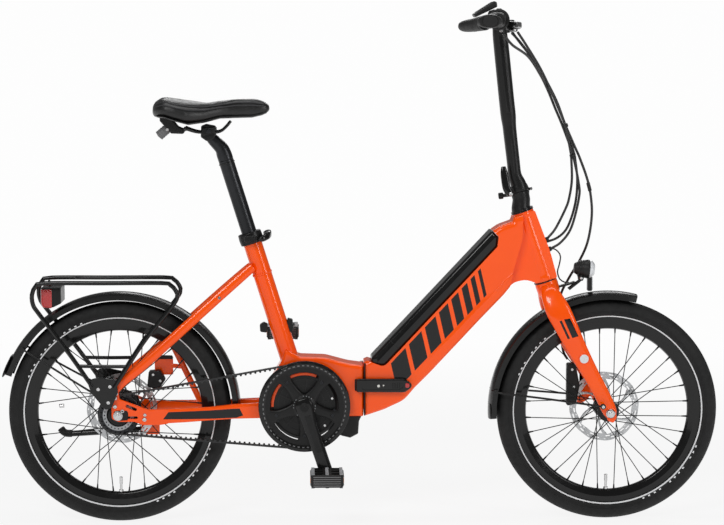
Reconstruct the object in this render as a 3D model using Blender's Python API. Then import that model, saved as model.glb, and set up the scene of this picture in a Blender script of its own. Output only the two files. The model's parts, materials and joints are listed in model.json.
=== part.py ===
"""Folding electric bicycle with 20 inch wheels, a toothed belt and a mid motor.

+X is forward, +Y is the rider's left and +Z is up, and the drive side faces -Y. Lengths in this
file are millimetres, turned to metres by MM where a mesh is made. X is counted from the rear
axle and Z from the ground, and the empty "bicycle" moves the whole so that the origin lies on
the ground under the middle of the bounding box.
"""

import math

import bmesh
import bpy
from mathutils import Matrix, Vector

MM = 0.001

# ---------------------------------------------------------------- driving dimensions
TYRE_RADIUS = 250.0
TYRE_HALF_WIDTH = 23.5
RIM_OUTER_RADIUS = 211.4
RIM_INNER_RADIUS = 183.0
WHEELBASE = 1101.0
SPOKES = 32
WHEEL_STEPS = 32  # straight stretches round a tyre or rim, so that a corner meets the ground
ROTOR_RADIUS = 80.0

REAR_AXLE = Vector((0, 0, TYRE_RADIUS))
FRONT_AXLE = Vector((WHEELBASE, 0, TYRE_RADIUS))
CRANK_CENTRE = Vector((415, 0, 268))
CRANK_LENGTH = 155.0
CRANK_ANGLE = math.radians(18.5)  # right arm, forward of straight down
MIDDLE_X = 546.91  # from the rear axle to the middle of the bounding box

BELT_PITCH = 11.0
FRONT_TEETH = 55
REAR_TEETH = 24
BELT_Y = (-56.0, -46.0)
FRONT_PITCH_RADIUS = FRONT_TEETH * BELT_PITCH / math.tau
REAR_PITCH_RADIUS = REAR_TEETH * BELT_PITCH / math.tau

MOTOR_RADIUS = 80.0
FRAME_HALF_WIDTH = 38.0
HINGE_X = 548.0
HINGE_PIN = Vector((HINGE_X, 48.5, 300))
LATCH_PIVOT = Vector((538, -49, 313))

SEAT_AXIS = Vector((-0.2998, 0, 0.954))  # 17.4 degrees back from vertical
SEAT_COLLAR = Vector((296, 0, 642))
STEERING_AXIS = Vector((-0.322, 0, 0.947))  # 18.8 degrees back from vertical
HEAD_TOP = Vector((907, 0, 698))
HEAD_BOTTOM = Vector((959, 0, 545))

POST_SPLIT = Vector((900, 0, 745))
SPLIT_FORWARD = Vector((0.9763, 0, 0.2164))
SPLIT_NORMAL = Vector((-0.2164, 0, 0.9763))
POST_PIN_OFFSET = 27.0
POST_PIN = POST_SPLIT + POST_PIN_OFFSET * (SPLIT_FORWARD + Vector((0, 1, 0))) / math.sqrt(2)
POST_FOLD_AXIS = (Vector((0, 1, 0)) - SPLIT_FORWARD) / math.sqrt(2)

BAR_CENTRE = Vector((850, 0, 1129))
BAR_STRAIGHT = 60.0  # half of the middle stretch that runs square to the bicycle
BAR_SWEEP = 0.1532
BAR_DROP = 0.0426
BAR_HALF_WIDTH = 295.0
BAR_RADIUS = 11.1

TUBE_SLOPE = Vector((0.685, 0, 0.729)).normalized()
TUBE_NORMAL = Vector((-0.729, 0, 0.685)).normalized()
GAP = 0.4
LEFT, RIGHT = 1, -1

# ---------------------------------------------------------------- colours: sRGB-like base colours
FINISHES = {
    "orange_paint": ((1.0, 0.12, 0.0), 0.25, 0.1),
    "black_paint": ((0.012, 0.012, 0.013), 0.35, 0.2),
    "black_plastic": ((0.02, 0.02, 0.02), 0.5, 0.0),
    "rubber": ((0.015, 0.015, 0.015), 0.8, 0.0),
    "steel": ((0.62, 0.62, 0.62), 0.3, 1.0),
    "grey_metal": ((0.12, 0.12, 0.125), 0.35, 0.8),
    "vinyl": ((0.01, 0.01, 0.011), 0.55, 0.0),
    "red_lens": ((0.55, 0.01, 0.01), 0.15, 0.0),
}


def finish(name):
    colour, roughness, metallic = FINISHES[name]
    material = bpy.data.materials.new(name)
    material.use_nodes = True
    shader = material.node_tree.nodes["Principled BSDF"]
    shader.inputs["Base Color"].default_value = (*colour, 1.0)
    shader.inputs["Roughness"].default_value = roughness
    shader.inputs["Metallic"].default_value = metallic
    return material


# ---------------------------------------------------------------- mesh helpers, in millimetres
def loft(rings, wrap=False):
    """Joins rings of equally many points: capped ends, or wrap to join last ring to first."""
    bm = bmesh.new()
    rows = [[bm.verts.new(p) for p in ring] for ring in rings]
    count = len(rows[0])
    pairs = list(zip(rows, rows[1:])) + ([(rows[-1], rows[0])] if wrap else [])
    for low, high in pairs:
        for i in range(count):
            j = (i + 1) % count
            bm.faces.new((low[i], low[j], high[j], high[i]))
    if not wrap:
        bm.faces.new(list(reversed(rows[0])))
        bm.faces.new(rows[-1])
    bmesh.ops.recalc_face_normals(bm, faces=bm.faces)
    return bm


def prism(outline, y0, y1, chamfer=0.0):
    """An outline of (x, z) points, between two sideways limits, with its side faces' rims chamfered."""
    y0, y1 = sorted((y0, y1))
    bm = loft([[(x, y, z) for x, z in outline] for y in (y0 + chamfer, y1 - chamfer)])
    if chamfer:
        sides = [f for f in bm.faces if abs(f.normal.y) > 0.99]
        bmesh.ops.inset_individual(bm, faces=sides, thickness=chamfer, depth=chamfer)
    return bm


def box(low, high):
    return prism(
        [(low[0], low[2]), (high[0], low[2]), (high[0], high[2]), (low[0], high[2])], low[1], high[1]
    )


def across(direction):
    """Two directions square to this one: the first as close to sideways (Y) as it can be."""
    direction = direction.normalized()
    side = Vector((0, 1, 0)) if abs(direction.y) < 0.9 else Vector((-1, 0, 0))
    side = (side - side.dot(direction) * direction).normalized()
    return side, direction.cross(side)


def sweep(path, sizes, sides=8, ends=(None, None)):
    """An elliptical bar along a path. A size is a radius, or (sideways radius, other radius).

    ends may give the direction that an end face looks along.
    """
    path = [Vector(p) for p in path]
    if not isinstance(sizes, list):
        sizes = [sizes] * len(path)
    rings = []
    for i, point in enumerate(path):
        before = (point - path[i - 1]).normalized() if i else Vector()
        after = (path[i + 1] - point).normalized() if i + 1 < len(path) else Vector()
        heading = before + after
        if i == 0 and ends[0]:
            heading = ends[0]
        if i + 1 == len(path) and ends[1]:
            heading = ends[1]
        one, two = across(heading)
        size = sizes[i] if isinstance(sizes[i], tuple) else (sizes[i], sizes[i])
        ring = []
        for k in range(sides):
            turn = math.tau * (k + 0.5) / sides
            ring.append(point + one * size[0] * math.cos(turn) + two * size[1] * math.sin(turn))
        rings.append(ring)
    return loft(rings)


def turned(profile, sides, centre=(0, 0, 0), axis=(0, 1, 0)):
    """A closed profile of (radius, distance along the axis) points, turned a full circle."""
    turn = Vector((0, 1, 0)).rotation_difference(Vector(axis)).to_matrix()
    rings = []
    for k in range(sides):
        angle = math.tau * k / sides
        spoke = Vector((math.cos(angle), 0, math.sin(angle)))
        rings.append([turn @ (spoke * r + Vector((0, t, 0))) + Vector(centre) for r, t in profile])
    return loft(rings, wrap=True)


def cylinder(start, end, radius, sides=16):
    return sweep([start, end], radius, sides)


def combine(operation, first, *others):
    """Boolean of bmeshes, on helper objects that are removed again."""
    helpers = []
    for bm in (first, *others):
        mesh = bpy.data.meshes.new("helper")
        bm.to_mesh(mesh)
        bm.free()
        helper = bpy.data.objects.new("helper", mesh)
        bpy.context.collection.objects.link(helper)
        helpers.append(helper)
    for other in helpers[1:]:
        modifier = helpers[0].modifiers.new("combine", "BOOLEAN")
        modifier.operation = operation
        modifier.object = other
        modifier.solver = "EXACT"
    graph = bpy.context.evaluated_depsgraph_get()
    result = bmesh.new()
    result.from_mesh(helpers[0].evaluated_get(graph).to_mesh())
    for helper in helpers:
        mesh = helper.data
        bpy.data.objects.remove(helper)
        bpy.data.meshes.remove(mesh)
    bmesh.ops.triangulate(result, faces=result.faces)
    bmesh.ops.remove_doubles(result, verts=result.verts, dist=0.001)
    return result


def union(first, *others):
    return combine("UNION", first, *others)


def cut(first, *others):
    return combine("DIFFERENCE", first, *others)


def smooth_route(points, spacing):
    """Points of a Catmull-Rom curve through a route, about this far apart."""
    points = [Vector(p) for p in points]
    padded = [2 * points[0] - points[1], *points, 2 * points[-1] - points[-2]]
    found = [points[0]]
    for a, b, c, d in zip(padded, padded[1:], padded[2:], padded[3:]):
        steps = max(1, round((c - b).length / spacing))
        for k in range(1, steps + 1):
            t = k / steps
            found.append(
                0.5
                * (2 * b + (c - a) * t + (2 * a - 5 * b + 4 * c - d) * t**2
                   + (3 * b - a - 3 * c + d) * t**3)
            )
    return found


# ---------------------------------------------------------------- bodies and nodes
BODIES = {}


def body(name, parent, pivot):
    """An empty on the joint's axis. Its children are measured from the bicycle's own origin."""
    empty = bpy.data.objects.new("axis_" + name, None)
    bpy.context.collection.objects.link(empty)
    pivot = Vector(pivot)
    if parent:
        empty.parent, parent_pivot = BODIES[parent]
        empty.location = (pivot - parent_pivot) * MM
    else:
        empty.location = (pivot - Vector((MIDDLE_X, 0, 0))) * MM
    BODIES[name] = (empty, pivot)


def place(obj, body_name, at):
    empty, pivot = BODIES[body_name]
    obj.parent = empty
    obj.location = (Vector(at) - pivot) * MM
    bpy.context.collection.objects.link(obj)


def node(name, body_name, bm, material, at=(0, 0, 0)):
    mesh = bpy.data.meshes.new(name)
    bmesh.ops.transform(bm, matrix=Matrix.Scale(MM, 4), verts=bm.verts)
    bmesh.ops.recalc_face_normals(bm, faces=bm.faces)
    bm.to_mesh(mesh)
    bm.free()
    mesh.shade_smooth()
    mesh.set_sharp_from_angle(angle=math.radians(35))
    mesh.materials.append(MATERIALS[material])
    place(bpy.data.objects.new(name, mesh), body_name, at)


def hose(name, body_name, route, radius, material, spacing=18.0):
    """A round hose as a bevelled curve through its route."""
    curve = bpy.data.curves.new(name, "CURVE")
    curve.dimensions = "3D"
    curve.bevel_depth = radius * MM
    curve.bevel_resolution = 2
    curve.use_fill_caps = True
    curve.render_resolution_u = 0
    points = smooth_route(route, spacing)
    spline = curve.splines.new("POLY")
    spline.points.add(len(points) - 1)
    for target, point in zip(spline.points, points):
        target.co = (*(point * MM), 1.0)
    curve.materials.append(MATERIALS[material])
    place(bpy.data.objects.new(name, curve), body_name, (0, 0, 0))


# ---------------------------------------------------------------- rear half of the frame
def seat_point(along):
    """A point on the seat tube's axis, measured up from the collar's middle."""
    return SEAT_COLLAR + SEAT_AXIS * along


def rear_yoke():
    outline = [
        (547.5, 355), (547.5, 241), (496, 241), (415, 268), (333, 286), (326, 292), (327, 335),
        (345, 392), (366, 402), (402, 375), (426, 374.5), (462, 373), (484, 367), (515, 359.5),
    ]
    block = prism(outline, -FRAME_HALF_WIDTH, FRAME_HALF_WIDTH, chamfer=4)
    tube = cylinder(seat_point(-285), seat_point(11), 21, 20)
    knuckles = []
    for low, high in ((246, 275), (322, 350)):
        centre = Vector((HINGE_PIN.x, HINGE_PIN.y, low))
        knuckles.append(cylinder(centre, centre + Vector((0, 0, high - low)), 8, 12))
        knuckles.append(box((530, 20, low), (545, 46, high)))
    frame = union(union(block, tube), *knuckles)
    motor_bore = cylinder(
        CRANK_CENTRE - Vector((0, 60, 0)), CRANK_CENTRE + Vector((0, 60, 0)), MOTOR_RADIUS + 0.7, 32
    )
    post_bore = cylinder(seat_point(-235), seat_point(20), 18, 20)
    pin = HINGE_PIN.copy()
    pin_bore = cylinder(Vector((pin.x, pin.y, 240)), Vector((pin.x, pin.y, 360)), 4.5, 12)
    node("rear_yoke", "rear_frame", cut(frame, motor_bore, post_bore, pin_bore), "orange_paint")


def hinge_pin():
    low = Vector((HINGE_PIN.x, HINGE_PIN.y, 244))
    high = Vector((HINGE_PIN.x, HINGE_PIN.y, 351))
    shaft = cylinder(low, high, 4, 12)
    head = cylinder(high, high + Vector((0, 0, 4)), 7, 12)
    node("frame_hinge_pin", "rear_frame", union(shaft, head), "steel")


def chainstay(side):
    """A dropout plate outside the belt, and an arm that passes through the belt's loop."""
    y_out, y_in = 66 * side, 58 * side
    plate_outline = [
        (-12, 312), (2, 312), (4, 288), (66, 263), (112, 265), (112, 232), (93, 229), (56, 229),
        (36, 236), (14, 237), (-10, 237), (-15, 262), (-14, 290),
    ]
    plate = prism(plate_outline, y_in, y_out, chamfer=1.5)
    stations = [  # x, lower z, upper z, inner y, outer y
        (100, 232, 265, 58, 66), (190, 237, 267, 46, 60), (255, 238, 271, 31, 45),
        (332, 239, 275, 26, 41),
    ]
    arm = loft(
        [
            [(x, inner * side, low), (x, outer * side, low), (x, outer * side, high),
             (x, inner * side, high)]
            for x, low, high, inner, outer in stations
        ]
    )
    parts = [plate, arm]
    if side == LEFT:
        parts.append(box((42, 58, 186), (84, 66, 232)))
    bore = cylinder((0, 50 * side, 250), (0, 75 * side, 250), 5.5, 12)
    name = "left_chainstay" if side == LEFT else "right_chainstay"
    node(name, "rear_frame", cut(union(*parts), bore), "orange_paint")


def seat_stay(side):
    path = [(287, 18 * side, 568), (226, 34 * side, 514), (160, 45 * side, 455),
            (60, 58 * side, 366), (2, 60 * side, 322)]
    name = "left_seat_stay" if side == LEFT else "right_seat_stay"
    stay = sweep(path, [(9, 11), (9, 11), (9, 11), (9, 11), (8, 8)], 8)
    if side == LEFT:
        stay = union(stay, sweep([(112, 52, 408), (172, 50, 276)], (6, 9), 8))
    node(name, "rear_frame", stay, "orange_paint")


def motor():
    centre = CRANK_CENTRE
    drum = cylinder(centre - Vector((0, 40, 0)), centre + Vector((0, 54, 0)), MOTOR_RADIUS, 32)
    belly = prism([(470, 240), (546, 240), (537, 230), (535, 200), (517, 191), (500, 196),
                   (470, 206)], -34, 40, chamfer=6)
    bore = cylinder(centre - Vector((0, 60, 0)), centre + Vector((0, 70, 0)), 10.7, 16)
    node("motor_casing", "rear_frame", cut(union(drum, belly), bore), "black_paint")


def seat_collar():
    ring = turned([(19, -13), (26, -13), (26, 13), (19, 13)], 20, SEAT_COLLAR, SEAT_AXIS)
    ear = box((280, -41, 634), (312, -20, 650))
    core = cylinder(seat_point(-30), seat_point(30), 21.6, 20)
    node("seat_clamp_collar", "rear_frame", cut(union(ring, ear), core), "black_paint")


def rack_side(side):
    """One side loop of the rack, ending in a plate on the dropout."""
    y = 62 * side
    foot = 76 * side
    path = [(-8, foot, 314), (58, 70 * side, 415), (118, y, 487), (134, y, 516), (124, y, 541),
            (102, y, 547), (-161, y, 547), (-181, y, 537), (-187, y, 507), (-173, y, 481),
            (-105, 68 * side, 389), (-54, foot, 316)]
    loop = sweep(path, 5, 8)
    plate = prism([(-64, 322), (-56, 334), (-40, 338), (-2, 330), (0, 306), (-14, 270),
                   (-26, 267), (-58, 304)], 74 * side, 78 * side)
    name = "rack_left_side" if side == LEFT else "rack_right_side"
    node(name, "rear_frame", union(loop, plate), "black_paint")


def rack_deck():
    bars = [cylinder((x, -56.2, 547), (x, 56.2, 547), 4, 8) for x in (100, 12, -76, -158)]
    rails = [box((-160, y - 9, 545), (102, y + 9, 552.4)) for y in (-26, 26)]
    node("rack_deck", "rear_frame", union(*rails, *bars), "black_paint")


def tail_light():
    lamp = prism([(-134, 531), (-134, 496), (-150, 488), (-167, 490), (-170, 500), (-170, 531)],
                 -40, 40, chamfer=4)
    node("tail_light", "rear_frame", lamp, "red_lens")


def guard(axle, outer, start, stop, steps):
    """A mudguard: a crowned strip with its rims turned down, from one angle to another."""
    section = [(outer - 6, -28), (outer, -16), (outer, 16), (outer - 6, 28), (outer - 8.5, 28),
               (outer - 2.6, 15), (outer - 2.6, -15), (outer - 8.5, -28)]
    rings = []
    for k in range(steps + 1):
        angle = math.radians(start + (stop - start) * k / steps)
        spoke = Vector((math.cos(angle), 0, math.sin(angle)))
        rings.append([axle + spoke * r + Vector((0, y, 0)) for r, y in section])
    return loft(rings)


def mudguards():
    rear = guard(REAR_AXLE, 272, 3, 161, 24)
    stays = [sweep([(-221, 22 * s, 399), (-208, 33 * s, 391), (-30, 68 * s, 287)], 2.5, 6)
             for s in (LEFT, RIGHT)]
    node("rear_mudguard", "rear_frame", union(rear, *stays), "black_plastic")
    front = guard(FRONT_AXLE, 270, 76, 184, 18)
    stays = [sweep([(840, 22 * s, 296), (858, 33 * s, 293), (1082, 79 * s, 268)], 2.5, 6)
             for s in (LEFT, RIGHT)]
    node("front_mudguard", "steering", union(front, *stays), "black_plastic")


def rear_axle():
    shaft = cylinder((0, -73, 0), (0, 73, 0), 5, 12)
    nuts = [cylinder((0, 66.5 * s, 0), (0, 72 * s, 0), 9, 12) for s in (LEFT, RIGHT)]
    node("rear_axle", "rear_frame", union(shaft, *nuts), "steel", at=REAR_AXLE)


def caliper(name, body_name, outline, y_rotor, y_in, y_out):
    """A brake caliper with a slot that the rotor turns in."""
    block = prism(outline, y_in, y_out, chamfer=3)
    xs = [p[0] for p in outline]
    zs = [p[1] for p in outline]
    slot = box((min(xs) - 5, y_rotor - 3, min(zs) - 5), (max(xs) + 5, y_rotor + 3, max(zs) - 12))
    node(name, body_name, cut(block, slot), "black_paint")


def belt_loop(offset, steps=16):
    """The belt's line, this far outside the pitch line: two arcs and two straight runs."""
    span = (CRANK_CENTRE - REAR_AXLE).length
    tilt = math.atan2(CRANK_CENTRE.z - REAR_AXLE.z, CRANK_CENTRE.x - REAR_AXLE.x)
    lean = math.acos((FRONT_PITCH_RADIUS - REAR_PITCH_RADIUS) / span)
    arcs = (
        (CRANK_CENTRE, FRONT_PITCH_RADIUS + offset, tilt - math.pi + lean, tilt + math.pi - lean),
        (REAR_AXLE, REAR_PITCH_RADIUS + offset, tilt + math.pi - lean,
         tilt + math.pi + lean),
    )
    points = []
    for centre, radius, start, stop in arcs:
        for k in range(steps + 1):
            angle = start + (stop - start) * k / steps
            points.append((centre.x + radius * math.cos(angle), centre.z + radius * math.sin(angle)))
    return points


def drive_belt():
    inner, outer = belt_loop(-1.2), belt_loop(2.4)
    rings = []
    for (xi, zi), (xo, zo) in zip(inner, outer):
        rings.append([(xi, BELT_Y[0], zi), (xo, BELT_Y[0], zo), (xo, BELT_Y[1], zo),
                      (xi, BELT_Y[1], zi)])
    node("drive_belt", "rear_frame", loft(rings, wrap=True), "rubber")


# ---------------------------------------------------------------- wheels
def tyre():
    """An open channel that sits on the rim."""
    return turned(
        [(TYRE_RADIUS, 0), (245, 14), (229, TYRE_HALF_WIDTH), (212, 16), (212, 11), (229, 18),
         (245, 0), (229, -18), (212, -11), (212, -16), (229, -TYRE_HALF_WIDTH), (245, -14)],
        WHEEL_STEPS,
    )


def rim():
    return turned(
        [(RIM_OUTER_RADIUS, -12.5), (RIM_OUTER_RADIUS, 12.5), (198, 12.5),
         (RIM_INNER_RADIUS, 5), (RIM_INNER_RADIUS, -5), (198, -12.5)],
        WHEEL_STEPS,
    )


def hub_and_spokes(profile, flange_radius, flange_y, phase):
    """A hub shell with its crossed spokes, which stop just short of the rim."""
    rods = []
    for k in range(SPOKES):
        side = LEFT if k % 2 else RIGHT
        lead = 1 if k % 4 < 2 else -1
        at_rim = math.tau * (k + phase) / SPOKES
        at_hub = at_rim + lead * math.radians(58)
        y = flange_y * side + 2.2 * lead
        start = Vector(((flange_radius - 4) * math.cos(at_hub), y,
                        (flange_radius - 4) * math.sin(at_hub)))
        reach = RIM_INNER_RADIUS * math.cos(math.pi / WHEEL_STEPS) - 1.0
        end = Vector((reach * math.cos(at_rim), 3 * side, reach * math.sin(at_rim)))
        rods.append(cylinder(start, end, 1.2, 3))
    return union(turned(profile, 16), *rods)


def rotor():
    """A brake rotor: a braking ring carried by five arms."""
    half = 0.9
    ring = turned([(66, -half), (ROTOR_RADIUS, -half), (ROTOR_RADIUS, half), (66, half)], 24)
    centre = turned([(15, -half), (26, -half), (26, half), (15, half)], 12)
    arms = []
    for k in range(5):
        angle = math.tau * k / 5
        ahead = angle + math.radians(25)
        inner = Vector((22 * math.cos(angle), 0, 22 * math.sin(angle)))
        outer = Vector((70 * math.cos(ahead), 0, 70 * math.sin(ahead)))
        arms.append(sweep([inner, outer], (half * math.sqrt(2) * 0.96, 4.5), 4))
    return union(ring, centre, *arms)


def wheels():
    node("rear_tyre", "rear_wheel", tyre(), "rubber", at=REAR_AXLE)
    node("rear_rim", "rear_wheel", rim(), "black_paint", at=REAR_AXLE)
    rear_shell = [(7, -42), (24, -42), (24, -34), (44, -33), (44, -29), (38, -27), (38, 27),
                  (44, 29), (44, 33), (24, 34), (24, 40), (7, 40)]
    node("rear_hub", "rear_wheel", hub_and_spokes(rear_shell, 44, 30.5, 0.5), "black_paint",
         at=REAR_AXLE)
    node("rear_rotor", "rear_wheel", rotor(), "steel", at=REAR_AXLE + Vector((0, 42, 0)))
    node("front_tyre", "front_wheel", tyre(), "rubber", at=FRONT_AXLE)
    node("front_rim", "front_wheel", rim(), "black_paint", at=FRONT_AXLE)
    front_shell = [(6, -48), (12, -48), (12, -34), (24, -32), (24, -27), (14, -24), (14, 23),
                   (24, 26), (24, 31), (15, 33), (15, 36.5), (6, 36.5)]
    node("front_hub", "front_wheel", hub_and_spokes(front_shell, 24, 28.5, 0.5), "black_paint",
         at=FRONT_AXLE)
    node("front_rotor", "front_wheel", rotor(), "steel", at=FRONT_AXLE + Vector((0, 38.5, 0)))


def rear_sprocket():
    wheel = turned([(12, -56), (REAR_PITCH_RADIUS - 1.8, -56), (REAR_PITCH_RADIUS - 1.8, -45.4),
                    (REAR_PITCH_RADIUS + 5, -45), (REAR_PITCH_RADIUS + 5, -43), (12, -43)], 24)
    node("rear_sprocket", "rear_sprocket", wheel, "grey_metal", at=REAR_AXLE)


# ---------------------------------------------------------------- cranks and pedals
def crank_end(side):
    """The pedal axle's place: the right arm hangs forward of straight down."""
    turn = CRANK_LENGTH * (1 if side == RIGHT else -1)
    return CRANK_CENTRE + Vector((turn * math.sin(CRANK_ANGLE), 0, -turn * math.cos(CRANK_ANGLE)))


def crank_set():
    c = CRANK_CENTRE
    node("crank_spindle", "crank", cylinder(c - Vector((0, 59.5, 0)), c + Vector((0, 59.5, 0)), 10, 16),
         "steel")
    root = FRONT_PITCH_RADIUS - 1.8
    ring = turned([(82, -46), (root, -46), (root, -56.5), (100, -56.5), (100, -58), (84, -58),
                   (82, -56)], 32, c)
    boss = turned([(10.6, -58.5), (26, -58.5), (26, -47), (10.6, -47)], 20, c)
    arms = []
    for k in range(5):
        angle = math.tau * k / 5 - math.pi / 2
        heading = Vector((math.cos(angle), 0, math.sin(angle)))
        middle = c + Vector((0, -52, 0))
        arms.append(sweep([middle + heading * 20, middle + heading * 60, middle + heading * 86],
                          [(5, 15), (5, 11), (5, 14)], 8))
    node("front_pulley", "crank", union(ring, boss, *arms), "grey_metal")
    for side, name in ((RIGHT, "right"), (LEFT, "left")):
        end = crank_end(side)
        middle = c.lerp(end, 0.6)
        path = [c + (c - end).normalized() * 16 + Vector((0, 66.5 * side, 0)),
                c + Vector((0, 66.5 * side, 0)), middle + Vector((0, 72.5 * side, 0)),
                end + Vector((0, 77 * side, 0)), end + (end - c).normalized() * 15
                + Vector((0, 77.5 * side, 0))]
        arm = sweep(path, [(5.5, 14), (6.2, 20), (6, 18), (6, 17), (5.5, 11)], 10)
        axle = cylinder(end + Vector((0, 76 * side, 0)), end + Vector((0, 160 * side, 0)), 4.5, 12)
        node(name + "_crank_arm", "crank", union(arm, axle), "black_paint")


def pedal(side, name):
    centre = crank_end(side)
    outline = [(-36, -11), (-32, -15), (32, -15), (36, -11), (36, 11), (32, 15), (-32, 15), (-36, 11)]
    block = prism([(centre.x + x, centre.z + z) for x, z in outline], 87 * side, 177 * side,
                  chamfer=3)
    bore = cylinder(centre + Vector((0, 80 * side, 0)), centre + Vector((0, 163 * side, 0)), 5, 12)
    node(name + "_pedal", name + "_pedal", cut(block, bore), "black_plastic")


# ---------------------------------------------------------------- kickstand, latch and seat
def kickstand():
    leg = sweep([(68, 80, 195), (52, 80, 195), (10, 84, 192), (-70, 86, 187), (-124, 88, 184),
                 (-137, 88, 187), (-144, 88, 196)],
                [6, 7.5, 7, 6.5, 6.5, 8, 6], 8)
    node("kickstand_leg", "kickstand", leg, "black_paint")


def frame_latch():
    z0, z1 = 298, 329
    outline = [(531, z0 + 3), (536, z0), (640, z0), (654, z0 + 5), (661, z0 + 16), (654, z1 - 5),
               (640, z1), (536, z1), (531, z1 - 3)]
    lever = prism(outline, -55, -43, chamfer=3)
    node("frame_latch", "frame_latch", lever, "black_paint")


def seat_lever():
    lever = sweep([(316, -32, 641), (324, -32, 643), (335, -20, 649), (338, 4, 651),
                   (333, 28, 650), (325, 40, 648)],
                  [(5, 5), (6, 7), (5, 8), (4, 8), (4, 8), (3, 5)], 8)
    node("seat_clamp_lever", "seat_clamp_lever", lever, "black_paint")


def seat_assembly():
    path = [seat_point(-115), seat_point(140), seat_point(190), seat_point(215) + Vector((-4, 0, 2)),
            Vector((209, 0, 866))]
    post = sweep(path, [17, 17, 17, 16, 14], 20, ends=(None, Vector((-0.3, 0, 1))))
    node("seat_post", "seat", post, "grey_metal")

    rails = [
        sweep([(252, 11 * s, 903), (240, 17 * s, 890), (226, 22 * s, 880), (182, 23 * s, 879),
               (165, 28 * s, 884), (150, 34 * s, 889)], 3.5, 6)
        for s in (LEFT, RIGHT)
    ]
    clamp = prism([(188, 888), (186, 876), (192, 871), (218, 878), (221, 888)], -28, 28, chamfer=2)
    node("saddle_rails", "seat", union(clamp, *rails), "grey_metal")

    stations = [  # x, half width, top, bottom
        (80, 34, 938, 918), (88, 60, 945, 914), (105, 78, 955, 911), (130, 82, 953, 903),
        (160, 76, 950, 897), (195, 58, 945, 901), (230, 38, 947, 910), (265, 27, 954, 912),
        (300, 23, 954, 912), (325, 19, 949, 920), (338, 12, 939, 927),
    ]
    rings = []
    for x, half, top, bottom in stations:
        middle = (top + bottom) / 2
        high = (top - bottom) / 2
        ring = []
        for k in range(12):
            turn = math.tau * k / 12
            c, s = math.cos(turn), math.sin(turn)
            y = half * math.copysign(abs(c) ** 0.7, c)
            z = middle + high * math.copysign(abs(s) ** 0.7, s)
            ring.append((x, y, z))
        rings.append(ring)
    node("saddle", "seat", loft(rings), "vinyl")

    bracket = prism([(96, 878), (146, 874), (150, 890), (104, 896), (94, 890)], -16, 16, chamfer=2)
    stub = cylinder((119, 0, 890), (88, 0, 866), 9, 12)
    node("tail_clip", "seat", union(bracket, stub), "black_plastic")


# ---------------------------------------------------------------- front half of the frame
BAND = 33.0  # depth of the battery's cover below the tube's upper edge
BATTERY_LOW = Vector((564, 0, 371))
BATTERY_HIGH = Vector((831, 0, 655))


def band_point(start, depth, along=0.0):
    point = start - TUBE_NORMAL * depth + TUBE_SLOPE * along
    return (point.x, point.z)


def front_frame():
    outline = [
        (548.5, 241), (594, 256), (639, 277), (663, 305), (699, 341), (741, 388), (812, 462),
        (858, 509), (885.5, 538.5), (897, 545), (913, 546.6), (936, 541), (962, 541),
        (982, 552), (968, 610), (952, 650), (931, 702), (883, 690), (881, 680), (853, 670),
        (831, 655), (564, 371), (548.5, 364),
    ]
    tube = prism(outline, -39, 39, chamfer=9)
    trim = prism([(890, 530), (1000, 530), (1000, 720), (905, 720), (925, 640), (900, 560)],
                 -60, -24.5)
    trim_left = prism([(890, 530), (1000, 530), (1000, 720), (905, 720), (925, 640), (900, 560)],
                      24.5, 60)
    head = cylinder(HEAD_BOTTOM, HEAD_TOP, 25, 24)
    above = cylinder(HEAD_TOP, HEAD_TOP + STEERING_AXIS * 30, 60, 8)
    below = cylinder(HEAD_BOTTOM, HEAD_BOTTOM - STEERING_AXIS * 30, 60, 8)
    steerer_bore = cylinder(HEAD_BOTTOM - STEERING_AXIS * 41, HEAD_TOP + STEERING_AXIS * 41, 16, 20)
    band = prism([band_point(BATTERY_LOW, -20, -14.2), band_point(BATTERY_LOW, BAND, 8.4),
                  band_point(BATTERY_HIGH, BAND, 4), band_point(BATTERY_HIGH, -20, 4)], -50, 50)
    pocket = prism([band_point(BATTERY_LOW, 0, 30), band_point(BATTERY_LOW, 78, 30),
                    band_point(BATTERY_HIGH, 78, -40), band_point(BATTERY_HIGH, 0, -40)], -27, 27)
    pin = HINGE_PIN
    knuckle = cylinder((pin.x, pin.y, 276), (pin.x, pin.y, 321), 8, 12)
    tab = box((550.2, 25, 276), (562, 46, 321))
    pin_bore = cylinder((pin.x, pin.y, 240), (pin.x, pin.y, 360), 4.5, 12)
    frame = cut(tube, trim, trim_left)
    frame = union(frame, head, knuckle, tab)
    frame = cut(frame, band, pocket, pin_bore, above, below, steerer_bore)
    node("front_frame", "front_frame", frame, "orange_paint")


def battery():
    cover = prism([band_point(BATTERY_LOW, 0, -5), band_point(BATTERY_LOW, BAND - GAP, 9),
                   band_point(BATTERY_HIGH, BAND - GAP, 3.4), band_point(BATTERY_HIGH, 0, 3.4)],
                  -39, 39, chamfer=8)
    block = prism([band_point(BATTERY_LOW, 10, 31), band_point(BATTERY_LOW, 77, 31),
                   band_point(BATTERY_HIGH, 77, -41), band_point(BATTERY_HIGH, 10, -41)],
                  -26.4, 26.4)
    node("battery", "battery", union(cover, block), "black_plastic")


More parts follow.
